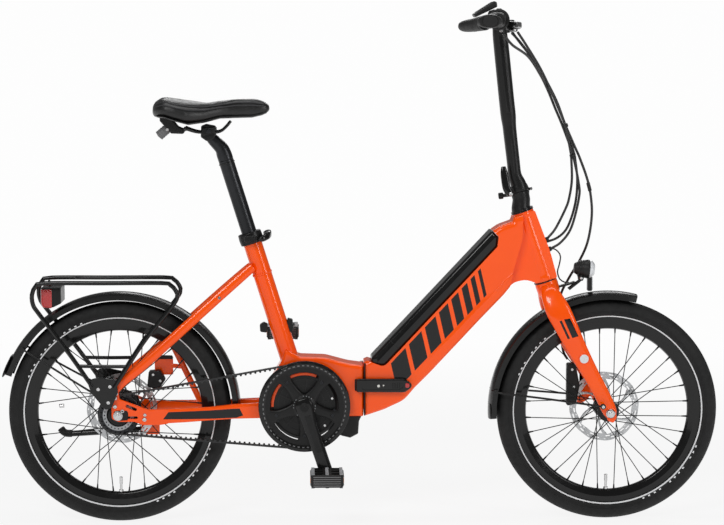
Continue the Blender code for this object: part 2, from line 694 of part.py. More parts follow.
def fork():
    steerer = cylinder(HEAD_BOTTOM - STEERING_AXIS * 20, HEAD_TOP + STEERING_AXIS * 0.8, 15, 20)
    crown = cylinder(HEAD_BOTTOM - STEERING_AXIS * 34, HEAD_BOTTOM - STEERING_AXIS * 0.6, 26, 20)
    legs = []
    for s in (LEFT, RIGHT):
        path = [(962, 14 * s, 528), (968, 34 * s, 513), (981, 50 * s, 484), (995, 57 * s, 456),
                (1025, 58 * s, 396), (1057, 58 * s, 338), (1082, 58 * s, 292), (1101, 58 * s, 252),
                (1106, 58 * s, 238)]
        sizes = [(14, 14), (14, 22), (12, 27), (9, 26), (8, 22), (8, 18), (8, 17), (8, 15), (7, 9)]
        legs.append(sweep(path, sizes, 10))
    arm = sweep([(975, 0, 528), (1004, 0, 534), (1026, 0, 540)], (8, 3), 4)
    bore = cylinder(FRONT_AXLE - Vector((0, 80, 0)), FRONT_AXLE + Vector((0, 80, 0)), 5, 12)
    arch = cylinder(FRONT_AXLE - Vector((0, 29.5, 0)), FRONT_AXLE + Vector((0, 29.5, 0)), 273, 48)
    node("fork", "steering", cut(union(crown, steerer, *legs, arm), bore, arch), "orange_paint")


def stem_base():
    start = HEAD_TOP + STEERING_AXIS * 1.4
    base = sweep([start, start + STEERING_AXIS * 10, POST_SPLIT - SPLIT_NORMAL * 12,
                  POST_SPLIT - SPLIT_NORMAL * 0.3],
                 [24, 21, 20, 20], 20, ends=(STEERING_AXIS, SPLIT_NORMAL))
    ear_at = POST_SPLIT + (POST_PIN - POST_SPLIT) * 0.62
    ear = sweep([ear_at - SPLIT_NORMAL * 14, ear_at - SPLIT_NORMAL * 0.6], [9, 12], 12,
                ends=(SPLIT_NORMAL, SPLIT_NORMAL))
    pin_bore = cylinder(POST_PIN - POST_FOLD_AXIS * 30, POST_PIN + POST_FOLD_AXIS * 30, 4, 10)
    node("stem_base", "steering", cut(union(base, ear), pin_bore), "black_paint")


def headlight():
    lamp = turned([(0.5, 24), (0.5, -24), (12, -22), (18, -8), (21, 20), (20, 24)], 20,
                  (1047, 0, 570), (0.996, 0, -0.09))
    foot = box((1034, -7, 545), (1046, 7, 556))
    pendant = box((1056, -9, 522), (1066, 9, 552))
    node("headlight", "headlight", union(lamp, foot, pendant), "black_plastic")


def front_axle():
    shaft = cylinder((0, -74, 0), (0, 74, 0), 4.5, 12)
    nuts = [cylinder((0, 66.6 * s, 0), (0, 72 * s, 0), 9, 12) for s in (LEFT, RIGHT)]
    spacer = cylinder((0, 41, 0), (0, 49.4, 0), 9, 12)
    node("front_axle", "steering", union(shaft, spacer, *nuts), "steel", at=FRONT_AXLE)


# ---------------------------------------------------------------- handlepost and handlebar
def bar_point(y, dx=0.0, dz=0.0):
    """A point on the handlebar's centre line at this sideways place, moved by dx and dz."""
    past = max(0.0, abs(y) - BAR_STRAIGHT)
    return BAR_CENTRE + Vector((dx - past * BAR_SWEEP, y, dz - past * BAR_DROP))


def handlepost():
    path = [POST_SPLIT + SPLIT_NORMAL * 0.3, POST_SPLIT + SPLIT_NORMAL * 16, Vector((889, 0, 778)),
            Vector((878, 0, 870)), Vector((873, 0, 915)), Vector((853, 0, 1098)),
            Vector((851, 0, 1122))]
    post = sweep(path, [20, 19, 15.5, 15.5, 17, 17, 15], 20, ends=(SPLIT_NORMAL, None))
    ear_at = POST_SPLIT + (POST_PIN - POST_SPLIT) * 0.62
    ear = sweep([ear_at + SPLIT_NORMAL * 0.6, ear_at + SPLIT_NORMAL * 14], [12, 9], 12,
                ends=(SPLIT_NORMAL, SPLIT_NORMAL))
    clamp = cylinder(BAR_CENTRE - Vector((0, 22, 0)), BAR_CENTRE + Vector((0, 22, 0)), 19, 20)
    bore = cylinder(BAR_CENTRE - Vector((0, 30, 0)), BAR_CENTRE + Vector((0, 30, 0)), 11.6, 16)
    pin_bore = cylinder(POST_PIN - POST_FOLD_AXIS * 30, POST_PIN + POST_FOLD_AXIS * 30, 4, 10)
    node("handlepost", "handlepost", cut(union(post, ear, clamp), bore, pin_bore), "black_paint")


def post_latch():
    lever = sweep([(877, -26, 741), (868, -25, 748), (863, -21, 775), (859, -18, 800)],
                  [(6, 6), (6, 6), (8, 4), (6, 3)], 8)
    node("post_latch", "post_latch", lever, "black_paint")


def handlebar():
    bar = sweep([bar_point(y) for y in (-BAR_HALF_WIDTH, -120, -BAR_STRAIGHT, BAR_STRAIGHT, 120,
                                        BAR_HALF_WIDTH)], BAR_RADIUS, 16)
    node("handlebar", "handlepost", bar, "black_paint")


def bar_bore(y0, y1):
    return cylinder(bar_point(y0), bar_point(y1), BAR_RADIUS + 0.5, 16)


def grip(side, name):
    start, end = 168 * side, 297 * side
    path = [bar_point(start), bar_point(start + 24 * side, -4), bar_point(start + 90 * side, -12),
            bar_point(end, -9)]
    sleeve = sweep(path, [(17, 17), (19, 16), (27, 14), (22, 14)], 12)
    node(name + "_grip", "handlepost", cut(sleeve, bar_bore(start - 30 * side, end + 30 * side)),
         "rubber")


def brake(side, name):
    ring = cylinder(bar_point(104 * side), bar_point(124 * side), 16, 16)
    tank = sweep([bar_point(128 * side, 22, -12), bar_point(104 * side, 24, -16),
                  bar_point(74 * side, 32, -22)], [(10, 10), (11, 11), (7, 7)], 8)
    bridge = sweep([bar_point(114 * side, 10, -4), bar_point(114 * side, 22, -12)], 8, 8)
    node(name + "_brake_body", "handlepost",
         cut(union(ring, tank, bridge), bar_bore(80 * side, 160 * side)), "black_paint")
    pivot = bar_point(142 * side, 34, -14)
    blade = sweep([pivot, bar_point(160 * side, 46, -12), bar_point(200 * side, 44, -10),
                   bar_point(240 * side, 40, -8), bar_point(252 * side, 45, -8)],
                  [(7, 7), (4, 7), (3, 7), (3, 6), (3, 5)], 8)
    node(name + "_brake_lever", name + "_brake_lever", blade, "black_paint")


def shifter():
    ring = cylinder(bar_point(-133), bar_point(-162), 23, 16)
    node("twist_shifter", "twist_shifter", cut(ring, bar_bore(-120, -175)), "black_plastic")


def display():
    case = prism([(797, 1141), (801, 1134), (851, 1158), (849, 1169), (843, 1171)], 36, 88,
                 chamfer=3)
    ring = cylinder(bar_point(40), bar_point(54), 15, 12)
    foot = box((828, 41, 1140), (846, 53, 1152))
    node("display", "handlepost", cut(union(case, foot, ring), bar_bore(20, 59)), "black_plastic")


def hoses():
    front = [(886, 66, 1100), (905, 52, 1078), (962, 14, 988), (1002, 10, 896), (1034, 8, 824),
             (1060, 10, 745), (1066, 20, 692), (1060, 34, 632), (1046, 54, 588), (1022, 74, 541),
             (1004, 79, 500), (1003, 79, 450), (1006, 77, 405), (1010, 64, 372), (1018, 54, 357)]
    hose("front_brake_hose", "steering", front, 2.5, "rubber")
    rear = [(886, -66, 1100), (905, -52, 1074), (961, -12, 984), (1001, -8, 890), (1014, -9, 828),
            (1016, -10, 772), (1002, -11, 706), (980, -11, 662), (962, -11, 640)]
    hose("rear_brake_hose", "steering", rear, 2.5, "rubber")
    shift = [(846, -151, 1096), (866, -140, 1072), (908, -84, 1046), (962, -2, 970), (994, 0, 895),
             (1020, 0, 824), (1034, 0, 732), (1018, 4, 664), (995, 6, 630), (970, 8, 614)]
    hose("shift_cable", "steering", shift, 2.5, "rubber")


# ---------------------------------------------------------------- the whole bicycle
for leftover in list(bpy.data.objects):
    bpy.data.objects.remove(leftover)

MATERIALS = {name: finish(name) for name in FINISHES}

bicycle = bpy.data.objects.new("bicycle", None)
bpy.context.collection.objects.link(bicycle)

body("rear_frame", None, (0, 0, 0))
BODIES["rear_frame"][0].parent = bicycle
body("kickstand", "rear_frame", (60, 80, 195))
body("frame_latch", "rear_frame", LATCH_PIVOT)
body("seat_clamp_lever", "rear_frame", (320, -32, 642))
body("seat", "rear_frame", SEAT_COLLAR)
body("rear_wheel", "rear_frame", REAR_AXLE)
body("rear_sprocket", "rear_frame", REAR_AXLE)
body("crank", "rear_frame", CRANK_CENTRE)
body("right_pedal", "crank", crank_end(RIGHT))
body("left_pedal", "crank", crank_end(LEFT))
body("front_frame", "rear_frame", HINGE_PIN)
body("battery", "front_frame", BATTERY_LOW)
body("steering", "front_frame", HEAD_TOP)
body("headlight", "steering", (1040, 0, 548))
body("front_wheel", "steering", FRONT_AXLE)
body("handlepost", "steering", POST_PIN)
body("post_latch", "handlepost", (877, -26, 741))
body("right_brake_lever", "handlepost", bar_point(-142, 34, -14))
body("left_brake_lever", "handlepost", bar_point(142, 34, -14))
body("twist_shifter", "handlepost", bar_point(-151))

rear_yoke()
hinge_pin()
for side in (RIGHT, LEFT):
    chainstay(side)
    seat_stay(side)
    rack_side(side)
rack_deck()
tail_light()
motor()
seat_collar()
mudguards()
rear_axle()
caliper("rear_caliper", "rear_frame", [(58, 300), (84, 292), (100, 316), (88, 338), (62, 336)],
        42, 32, 56)
drive_belt()
wheels()
rear_sprocket()
crank_set()
pedal(RIGHT, "right")
pedal(LEFT, "left")
kickstand()
frame_latch()
seat_lever()
seat_assembly()
front_frame()
battery()
fork()
stem_base()
headlight()
front_axle()
caliper("front_caliper", "steering", [(1014, 252), (1036, 256), (1044, 300), (1034, 350), (1014, 350)],
        38.5, 30, 52)
handlepost()
post_latch()
handlebar()
for side, name in ((RIGHT, "right"), (LEFT, "left")):
    grip(side, name)
    brake(side, name)
shifter()
display()
hoses()
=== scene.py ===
"""Looks of the folding electric bicycle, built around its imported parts.

+X is forward, +Y is the rider's left and +Z is up, and the drive side faces -Y. As in the part's
own source, lengths here are millimetres, with X counted from the rear axle and Z from the ground;
piece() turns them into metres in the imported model's frame.
"""

import json
import math

import bmesh
import bpy
from mathutils import Matrix, Vector


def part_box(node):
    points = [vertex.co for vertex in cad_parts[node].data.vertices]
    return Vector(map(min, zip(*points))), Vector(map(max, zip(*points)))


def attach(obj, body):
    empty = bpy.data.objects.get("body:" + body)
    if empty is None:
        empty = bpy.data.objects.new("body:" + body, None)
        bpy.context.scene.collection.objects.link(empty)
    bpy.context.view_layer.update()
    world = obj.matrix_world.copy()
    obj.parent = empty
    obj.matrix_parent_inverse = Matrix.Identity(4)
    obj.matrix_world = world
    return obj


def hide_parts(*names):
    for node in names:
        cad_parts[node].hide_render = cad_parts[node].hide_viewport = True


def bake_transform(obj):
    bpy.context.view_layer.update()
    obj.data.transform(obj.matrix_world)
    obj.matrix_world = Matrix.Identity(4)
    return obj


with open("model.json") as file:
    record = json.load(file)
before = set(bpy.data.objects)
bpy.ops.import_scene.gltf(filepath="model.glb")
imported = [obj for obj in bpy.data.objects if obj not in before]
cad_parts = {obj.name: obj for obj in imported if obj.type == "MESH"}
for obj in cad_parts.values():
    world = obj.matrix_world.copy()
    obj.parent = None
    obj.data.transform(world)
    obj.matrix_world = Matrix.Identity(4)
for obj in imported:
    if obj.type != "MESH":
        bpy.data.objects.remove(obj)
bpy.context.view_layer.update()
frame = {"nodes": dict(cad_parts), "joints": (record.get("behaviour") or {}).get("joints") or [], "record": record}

MM = 0.001
RIGHT, LEFT = -1, 1


def box_middle(node):
    low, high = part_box(node)
    return (low + high) / 2


AXLE_X = box_middle("rear_axle").x
TO_WORLD = Matrix.Translation((AXLE_X, 0, 0)) @ Matrix.Scale(MM, 4)
TO_LOCAL = TO_WORLD.inverted()


def pivot_of(joint):
    """A joint's pivot at rest, in this file's millimetres."""
    found = next(j for j in frame["joints"] if j["name"] == joint)
    return TO_LOCAL @ Vector(found["pos_m"])


REAR_AXLE = pivot_of("rear_wheel_spin")
FRONT_AXLE = pivot_of("front_wheel_spin")
CRANK_CENTRE = pivot_of("crank_spin")
HINGE_PIN = pivot_of("frame_fold")
HEAD_TOP = pivot_of("steering")
POST_PIN = pivot_of("post_fold")
SEAT_AXIS = Vector((-0.2998, 0, 0.954))
SEAT_COLLAR = Vector((296, 0, 642))
STEERING_AXIS = Vector((-0.322, 0, 0.947))
HEAD_BOTTOM = Vector((959, 0, 545))
POST_SPLIT = Vector((900, 0, 745))
SPLIT_NORMAL = Vector((-0.2164, 0, 0.9763))
POST_FOLD_AXIS = Vector((-0.690, 0.707, -0.153))
TUBE_SLOPE = Vector((0.685, 0, 0.729)).normalized()
TUBE_NORMAL = Vector((-0.729, 0, 0.685)).normalized()
BAR_CENTRE = Vector((850, 0, 1129))
BAR_STRAIGHT, BAR_SWEEP, BAR_DROP = 60.0, 0.1532, 0.0426
TYRE_RADIUS = REAR_AXLE.z
TYRE_MIDDLE = 227.0  # the radius of the centre of the tyre's round section
TREAD_DEPTH = 1.3
SPOKES = 32


# ---------------------------------------------------------------- camera, lights and floor
def camera():
    data = bpy.data.cameras.new("camera")
    data.lens = 104.4
    eye = bpy.data.objects.new("camera", data)
    bpy.context.scene.collection.objects.link(eye)
    eye.location = (-0.140, -4.70, 1.03)
    aim = Vector((-0.0015, 0, 0.5855))
    eye.rotation_euler = (aim - eye.location).to_track_quat("-Z", "Y").to_euler()
    bpy.context.scene.camera = eye


def area_light(name, at, aim, size, watts):
    data = bpy.data.lights.new(name, "AREA")
    data.shape = "RECTANGLE"
    data.size, data.size_y = size
    data.energy = watts
    lamp = bpy.data.objects.new(name, data)
    bpy.context.scene.collection.objects.link(lamp)
    lamp.location = at
    lamp.rotation_euler = (Vector(aim) - lamp.location).to_track_quat("-Z", "Y").to_euler()


BACKDROP = 0.985
FILL = 0.17


def studio():
    world = bpy.data.worlds.new("studio")
    world.use_nodes = True
    tree = world.node_tree
    shown = tree.nodes["Background"]
    shown.inputs["Color"].default_value = (1, 1, 1, 1)
    shown.inputs["Strength"].default_value = BACKDROP
    fill = tree.nodes.new("ShaderNodeBackground")
    fill.inputs["Color"].default_value = (1, 1, 1, 1)
    fill.inputs["Strength"].default_value = FILL
    path = tree.nodes.new("ShaderNodeLightPath")
    mix = tree.nodes.new("ShaderNodeMixShader")
    tree.links.new(path.outputs["Is Camera Ray"], mix.inputs["Fac"])
    tree.links.new(fill.outputs["Background"], mix.inputs[1])
    tree.links.new(shown.outputs["Background"], mix.inputs[2])
    tree.links.new(mix.outputs["Shader"], tree.nodes["World Output"].inputs["Surface"])
    bpy.context.scene.world = world
    bpy.context.scene.view_settings.view_transform = "Standard"
    area_light("key", (-1.6, -3.2, 3.0), (0, 0, 0.5), (1.6, 1.0), 66)
    area_light("front", (2.6, -2.2, 1.8), (0.2, 0, 0.5), (0.7, 1.8), 30)
    area_light("back", (0.4, 3.4, 2.6), (0, 0, 0.5), (2.6, 1.0), 30)
    area_light("top", (0, 0, 3.2), (0, 0, 0), (2.4, 0.6), 24)


def floor():
    """A pale floor that fades into the plain background some metres out."""
    reach, near, far = 30.0, 0.9, 3.2
    mesh = bpy.data.meshes.new("floor")
    corners = [(-reach, -reach, 0), (reach, -reach, 0), (reach, reach, 0), (-reach, reach, 0)]
    mesh.from_pydata(corners, [], [(0, 1, 2, 3)])
    obj = bpy.data.objects.new("floor", mesh)
    bpy.context.scene.collection.objects.link(obj)
    material = bpy.data.materials.new("floor")
    material.use_nodes = True
    tree = material.node_tree
    shader = tree.nodes["Principled BSDF"]
    shader.inputs["Base Color"].default_value = (0.80, 0.80, 0.80, 1)
    shader.inputs["Roughness"].default_value = 0.6
    shader.inputs["Specular IOR Level"].default_value = 0.2
    glow = tree.nodes.new("ShaderNodeEmission")
    glow.inputs["Color"].default_value = (1, 1, 1, 1)
    glow.inputs["Strength"].default_value = BACKDROP
    place = tree.nodes.new("ShaderNodeTexCoord")
    distance = tree.nodes.new("ShaderNodeVectorMath")
    distance.operation = "LENGTH"
    fade = tree.nodes.new("ShaderNodeMapRange")
    fade.interpolation_type = "SMOOTHSTEP"
    fade.inputs["From Min"].default_value = near
    fade.inputs["From Max"].default_value = far
    fade.inputs["To Min"].default_value = 0.88
    mix = tree.nodes.new("ShaderNodeMixShader")
    tree.links.new(place.outputs["Object"], distance.inputs[0])
    tree.links.new(distance.outputs["Value"], fade.inputs["Value"])
    tree.links.new(fade.outputs["Result"], mix.inputs["Fac"])
    tree.links.new(shader.outputs["BSDF"], mix.inputs[1])
    tree.links.new(glow.outputs["Emission"], mix.inputs[2])
    tree.links.new(mix.outputs["Shader"], tree.nodes["Material Output"].inputs["Surface"])
    mesh.materials.append(material)


# ---------------------------------------------------------------- materials
def number(tree, socket, source, low, high, from_low=0.3, from_high=0.7):
    """Feeds a socket from a node's value, spread over a range."""
    spread = tree.nodes.new("ShaderNodeMapRange")
    spread.inputs["From Min"].default_value = from_low
    spread.inputs["From Max"].default_value = from_high
    spread.inputs["To Min"].default_value = low
    spread.inputs["To Max"].default_value = high
    tree.links.new(source, spread.inputs["Value"])
    tree.links.new(spread.outputs["Result"], socket)


def texture(tree, kind, scale, stretch=(1, 1, 1), **settings):
    """A texture node over the object's own coordinates, in metres."""
    place = tree.nodes.new("ShaderNodeTexCoord")
    mapping = tree.nodes.new("ShaderNodeMapping")
    mapping.inputs["Scale"].default_value = stretch
    found = tree.nodes.new("ShaderNodeTex" + kind)
    found.inputs["Scale"].default_value = scale
    for name, value in settings.items():
        if name in found.inputs:
            found.inputs[name].default_value = value
        else:
            setattr(found, name, value)
    tree.links.new(place.outputs["Object"], mapping.inputs["Vector"])
    tree.links.new(mapping.outputs["Vector"], found.inputs["Vector"])
    return found


def surface(name, colour, other, rough, metallic=0.0, coat=0.0, bumps=(), cloud=9.0, specular=0.5):
    """A finish whose colour and roughness wander a little, with layers of bump.

    colour and other are the two ends of the colour's range, rough the two ends of the roughness,
    and each of bumps is (texture kind, scale, depth in metres, stretch, settings).
    """
    material = bpy.data.materials.new(name)
    material.use_nodes = True
    tree = material.node_tree
    shader = tree.nodes["Principled BSDF"]
    shader.inputs["Metallic"].default_value = metallic
    shader.inputs["Specular IOR Level"].default_value = specular
    if coat:
        shader.inputs["Coat Weight"].default_value = coat
        shader.inputs["Coat Roughness"].default_value = 0.04
    wander = texture(tree, "Noise", cloud, Detail=4.0)
    blend = tree.nodes.new("ShaderNodeMix")
    blend.data_type = "RGBA"
    blend.inputs["A"].default_value = (*colour, 1)
    blend.inputs["B"].default_value = (*other, 1)
    number(tree, blend.inputs["Factor"], wander.outputs["Fac"], 0, 1)
    tree.links.new(blend.outputs["Result"], shader.inputs["Base Color"])
    fine = texture(tree, "Noise", cloud * 12, Detail=3.0)
    number(tree, shader.inputs["Roughness"], fine.outputs["Fac"], *rough)
    last = None
    for kind, scale, depth, stretch, settings in bumps:
        layer = texture(tree, kind, scale, stretch, **settings)
        bump = tree.nodes.new("ShaderNodeBump")
        bump.inputs["Distance"].default_value = depth
        bump.inputs["Strength"].default_value = 1.0
        height = layer.outputs["Distance"] if kind == "Voronoi" else layer.outputs["Fac"]
        tree.links.new(height, bump.inputs["Height"])
        if last:
            tree.links.new(last.outputs["Normal"], bump.inputs["Normal"])
        last = bump
    if last:
        tree.links.new(last.outputs["Normal"], shader.inputs["Normal"])
    return material


EVEN = (1, 1, 1)
FINE_GRAIN = ("Noise", 900.0, 0.00012, EVEN, {"Detail": 2.0})
ORANGE_PEEL = ("Noise", 260.0, 0.00004, EVEN, {"Detail": 1.0})
LEATHER = ("Voronoi", 520.0, 0.0001, EVEN, {"feature": "SMOOTH_F1", "Smoothness": 0.6})
BRUSHED = ("Noise", 320.0, 0.00003, (1, 12, 12), {"Detail": 3.0})

LOOK = {
    "orange": surface("orange_paint", (1.0, 0.098, 0.0), (0.96, 0.082, 0.0), (0.18, 0.25),
                      coat=0.4, specular=0.22, bumps=(ORANGE_PEEL,)),
    "black_gloss": surface("black_gloss_paint", (0.004, 0.004, 0.004), (0.007, 0.007, 0.007),
                           (0.14, 0.22), coat=0.3, specular=0.22, bumps=(ORANGE_PEEL,)),
    "black_satin": surface("black_satin_paint", (0.005, 0.005, 0.005), (0.009, 0.009, 0.009),
                           (0.28, 0.38), specular=0.28, bumps=(FINE_GRAIN,)),
    "black_plastic": surface("black_moulded_plastic", (0.006, 0.006, 0.006), (0.011, 0.011, 0.011),
                             (0.36, 0.48), specular=0.35, bumps=(FINE_GRAIN,)),
    "guard_plastic": surface("mudguard_plastic", (0.004, 0.004, 0.004), (0.008, 0.008, 0.008),
                             (0.2, 0.3), specular=0.35, bumps=(ORANGE_PEEL,)),
    "grey_plastic": surface("light_grey_plastic", (0.36, 0.37, 0.38), (0.29, 0.30, 0.31),
                            (0.35, 0.5), bumps=(FINE_GRAIN,)),
    "rubber": surface("grip_rubber", (0.006, 0.006, 0.006), (0.011, 0.011, 0.011), (0.5, 0.66),
                      specular=0.35, bumps=(FINE_GRAIN,)),
    "grey_rubber": surface("grey_rubber", (0.11, 0.11, 0.112), (0.16, 0.16, 0.162), (0.5, 0.66),
                           bumps=(FINE_GRAIN,)),
    "hose": surface("hose_sleeve", (0.009, 0.009, 0.009), (0.014, 0.014, 0.014), (0.32, 0.42),
                    bumps=(FINE_GRAIN,)),
    "tyre": surface("tyre_rubber", (0.007, 0.007, 0.007), (0.013, 0.013, 0.013), (0.6, 0.76), specular=0.3,
                    bumps=(FINE_GRAIN, ("Noise", 60.0, 0.0002, EVEN, {"Detail": 4.0}))),
    "stripe": surface("reflective_stripe", (0.85, 0.86, 0.87), (0.74, 0.75, 0.76), (0.3, 0.42),
                      bumps=(FINE_GRAIN,)),
    "belt": surface("belt_rubber", (0.010, 0.010, 0.011), (0.018, 0.018, 0.019), (0.45, 0.6),
                    bumps=(FINE_GRAIN,)),
    "steel": surface("brushed_steel", (0.60, 0.61, 0.62), (0.50, 0.51, 0.52), (0.22, 0.36),
                     metallic=1.0, bumps=(BRUSHED,)),
    "bolt": surface("bright_bolt_steel", (0.72, 0.72, 0.72), (0.6, 0.6, 0.6), (0.16, 0.28),
                    metallic=1.0, bumps=(BRUSHED,)),
    "dark_metal": surface("dark_anodised_aluminium", (0.024, 0.025, 0.027), (0.036, 0.037, 0.04),
                          (0.26, 0.38), metallic=0.85, bumps=(BRUSHED,)),
    "spoke": surface("black_spoke_steel", (0.02, 0.02, 0.02), (0.03, 0.03, 0.03), (0.25, 0.35),
                     metallic=0.9, bumps=(BRUSHED,)),
    "vinyl": surface("saddle_vinyl", (0.005, 0.005, 0.005), (0.009, 0.009, 0.009), (0.32, 0.45),
                     specular=0.45, bumps=(LEATHER, FINE_GRAIN)),
    "thread": surface("saddle_thread", (0.02, 0.02, 0.022), (0.03, 0.03, 0.032), (0.6, 0.75),
                      bumps=(FINE_GRAIN,)),
    "red_lens": surface("red_lens", (0.5, 0.006, 0.006), (0.38, 0.004, 0.004), (0.08, 0.14),
                        coat=1.0, bumps=(("Voronoi", 260.0, 0.0006, EVEN, {}),)),
    "amber": surface("amber_lens", (0.8, 0.22, 0.01), (0.62, 0.16, 0.01), (0.1, 0.16), coat=1.0,
                     bumps=(ORANGE_PEEL,)),
    "clear_lens": surface("clear_lens", (0.75, 0.77, 0.79), (0.62, 0.64, 0.66), (0.06, 0.12),
                          coat=1.0, bumps=(("Voronoi", 180.0, 0.0009, EVEN, {}),)),
    "mirror": surface("lamp_reflector", (0.82, 0.83, 0.84), (0.74, 0.75, 0.76), (0.05, 0.1),
                      metallic=1.0, bumps=(("Voronoi", 240.0, 0.0006, EVEN, {}),)),
    "screen": surface("display_screen", (0.012, 0.016, 0.02), (0.016, 0.02, 0.025), (0.05, 0.09),
                      coat=1.0, bumps=(ORANGE_PEEL,)),
    # painted highlight: a light warm white that stands in for the glints on the latch's rivet heads
    "warm_white": surface("rivet_painted_highlight", (0.75, 0.74, 0.70), (0.65, 0.64, 0.6), (0.3, 0.4),
                          bumps=(FINE_GRAIN,)),
}
SLOT_LOOK = {
    "orange_paint": "orange", "black_paint": "black_satin", "black_plastic": "black_plastic",
    "rubber": "rubber", "tyre": "tyre", "steel": "steel", "grey_metal": "dark_metal",
    "vinyl": "vinyl", "red_lens": "red_lens",
}


def dress_cad_nodes():
    """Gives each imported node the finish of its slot, until a finer piece replaces it."""
    for row in frame["record"]["subparts"]:
        node = frame["nodes"][row["node"]]
        node.data.materials.clear()
        node.data.materials.append(LOOK[SLOT_LOOK[row["material_slot"]]])


# ---------------------------------------------------------------- mesh helpers, in millimetres
def loft(rings, wrap=False, caps=True):
    """Joins rings of equally many points: capped ends, or wrap to join the last ring to the first."""
    bm = bmesh.new()
    rows = [[bm.verts.new(p) for p in ring] for ring in rings]
    count = len(rows[0])
    pairs = list(zip(rows, rows[1:])) + ([(rows[-1], rows[0])] if wrap else [])
    for low, high in pairs:
        for i in range(count):
            j = (i + 1) % count
            bm.faces.new((low[i], low[j], high[j], high[i]))
    if caps and not wrap:
        bm.faces.new(list(reversed(rows[0])))
        bm.faces.new(rows[-1])
    bmesh.ops.recalc_face_normals(bm, faces=bm.faces)
    return bm


ARC_STEP = math.radians(12)


def rounded(corners, inset=0.0):
    """A closed outline of (x, z, radius) corners, each an arc, moved in by inset."""
    points = [Vector(c[:2]) for c in corners]
    count = len(points)
    area = sum(points[i - 1].cross(points[i]) for i in range(count))
    hand = 1 if area > 0 else -1
    headings = [(points[(i + 1) % count] - points[i]).normalized() for i in range(count)]
    normals = [Vector((-h.y, h.x)) * hand for h in headings]
    moved = [points[i] + (normals[i - 1] + normals[i]) * inset
             / (1 + normals[i - 1].dot(normals[i])) for i in range(count)]
    spans = [(moved[(i + 1) % count] - moved[i]).length for i in range(count)]
    found = []
    for i, corner in enumerate(corners):
        into, out = headings[i - 1], headings[i]
        turn = math.atan2(into.cross(out), into.dot(out))
        convex = turn * hand > 0
        radius = corner[2] if len(corner) > 2 else 0.0
        if radius <= 0 or abs(turn) < 1e-3:
            found.append(moved[i])
            continue
        radius = max(0.05, radius - inset if convex else radius + inset)
        radius = min(radius, 0.48 * min(spans[i - 1], spans[i]) / math.tan(abs(turn) / 2))
        start = moved[i] - into * radius * math.tan(abs(turn) / 2)
        centre = start + normals[i - 1] * (radius if convex else -radius)
        steps = max(1, math.ceil(abs(turn) / ARC_STEP))
        for k in range(steps + 1):
            found.append(centre + Matrix.Rotation(turn * k / steps, 2) @ (start - centre))
    return found


def slab(corners, y0, y1, edge=1.5, steps=4):
    """A plate between two sideways limits whose rims are rounded by edge."""
    y0, y1 = sorted((y0, y1))
    rings = []
    side = [(edge * 1.25, 0.0)]
    for k in range(steps + 1):
        angle = math.pi / 2 * k / steps
        side.append((edge * (1 - math.sin(angle)), edge * (1 - math.cos(angle))))
    for inset, depth in side:
        rings.append([(p.x, y0 + depth, p.y) for p in rounded(corners, inset)])
    for inset, depth in reversed(side):
        rings.append([(p.x, y1 - depth, p.y) for p in rounded(corners, inset)])
    return loft(rings)


def box(low, high, edge=1.0):
    corners = [(low[0], low[2], edge), (high[0], low[2], edge), (high[0], high[2], edge),
               (low[0], high[2], edge)]
    return slab(corners, low[1], high[1], edge, steps=3)


def across(direction):
    """Two directions square to this one: the first as close to sideways (Y) as it can be."""
    direction = direction.normalized()
    side = Vector((0, 1, 0)) if abs(direction.y) < 0.9 else Vector((-1, 0, 0))
    side = (side - side.dot(direction) * direction).normalized()
    return side, direction.cross(side)


def catmull(values, steps):
    """Smooth values through rows of numbers, this many steps from one row to the next."""
    rows = [Vector(v) for v in values]
    padded = [2 * rows[0] - rows[1], *rows, 2 * rows[-1] - rows[-2]]
    found = [rows[0]]
    for a, b, c, d in zip(padded, padded[1:], padded[2:], padded[3:]):
        for k in range(1, steps + 1):
            t = k / steps
            found.append(0.5 * (2 * b + (c - a) * t + (2 * a - 5 * b + 4 * c - d) * t**2
                                + (3 * b - a - 3 * c + d) * t**3))
    return found


def route(points, spacing):
    """Points of a smooth curve through a route, about this far apart."""
    points = [Vector(p) for p in points]
    padded = [2 * points[0] - points[1], *points, 2 * points[-1] - points[-2]]
    found = [points[0]]
    for a, b, c, d in zip(padded, padded[1:], padded[2:], padded[3:]):
        steps = max(1, round((c - b).length / spacing))
        for k in range(1, steps + 1):
            t = k / steps
            found.append(0.5 * (2 * b + (c - a) * t + (2 * a - 5 * b + 4 * c - d) * t**2
                                + (3 * b - a - 3 * c + d) * t**3))
    return found


def squared(turn, power):
    """The cosine and sine of an angle round a rounded square: power 1 is a circle."""
    c, s = math.cos(turn), math.sin(turn)
    return math.copysign(abs(c) ** power, c), math.copysign(abs(s) ** power, s)


def bar(path, sizes, sides=24, power=1.0, dome=0.0, ends=(None, None)):
    """A bar along a path. A size is a radius, or (sideways radius, other radius).

    power below 1 squares the section, dome rounds the end faces' rims, and ends may give the
    direction that an end face looks along.
    """
    path = [Vector(p) for p in path]
    if not isinstance(sizes, list):
        sizes = [sizes] * len(path)
    sizes = [s if isinstance(s, tuple) else (s, s) for s in sizes]
    rings = []
    for i, point in enumerate(path):
        before = (point - path[i - 1]).normalized() if i else Vector()
        after = (path[i + 1] - point).normalized() if i + 1 < len(path) else Vector()
        heading = before + after
        if i == 0 and ends[0]:
            heading = ends[0]
        if i + 1 == len(path) and ends[1]:
            heading = ends[1]
        one, two = across(heading)
        shrink = [(0.0, 0.0)]
        last = i in (0, len(path) - 1)
        if dome and last:
            angles = [math.pi / 2 * k / 3 for k in (3, 2, 1, 0)]
            shrink = [(dome * (1 - math.cos(a)), dome * (1 - math.sin(a))) for a in angles]
            if i:
                shrink.reverse()
        for inset, back in shrink:
            toward = heading.normalized() * (back if not i else -back)
            ring = []
            for k in range(sides):
                c, s = squared(math.tau * (k + 0.5) / sides, power)
                ring.append(point + toward + one * (sizes[i][0] - inset) * c
                            + two * (sizes[i][1] - inset) * s)
            rings.append(ring)
    return loft(rings)


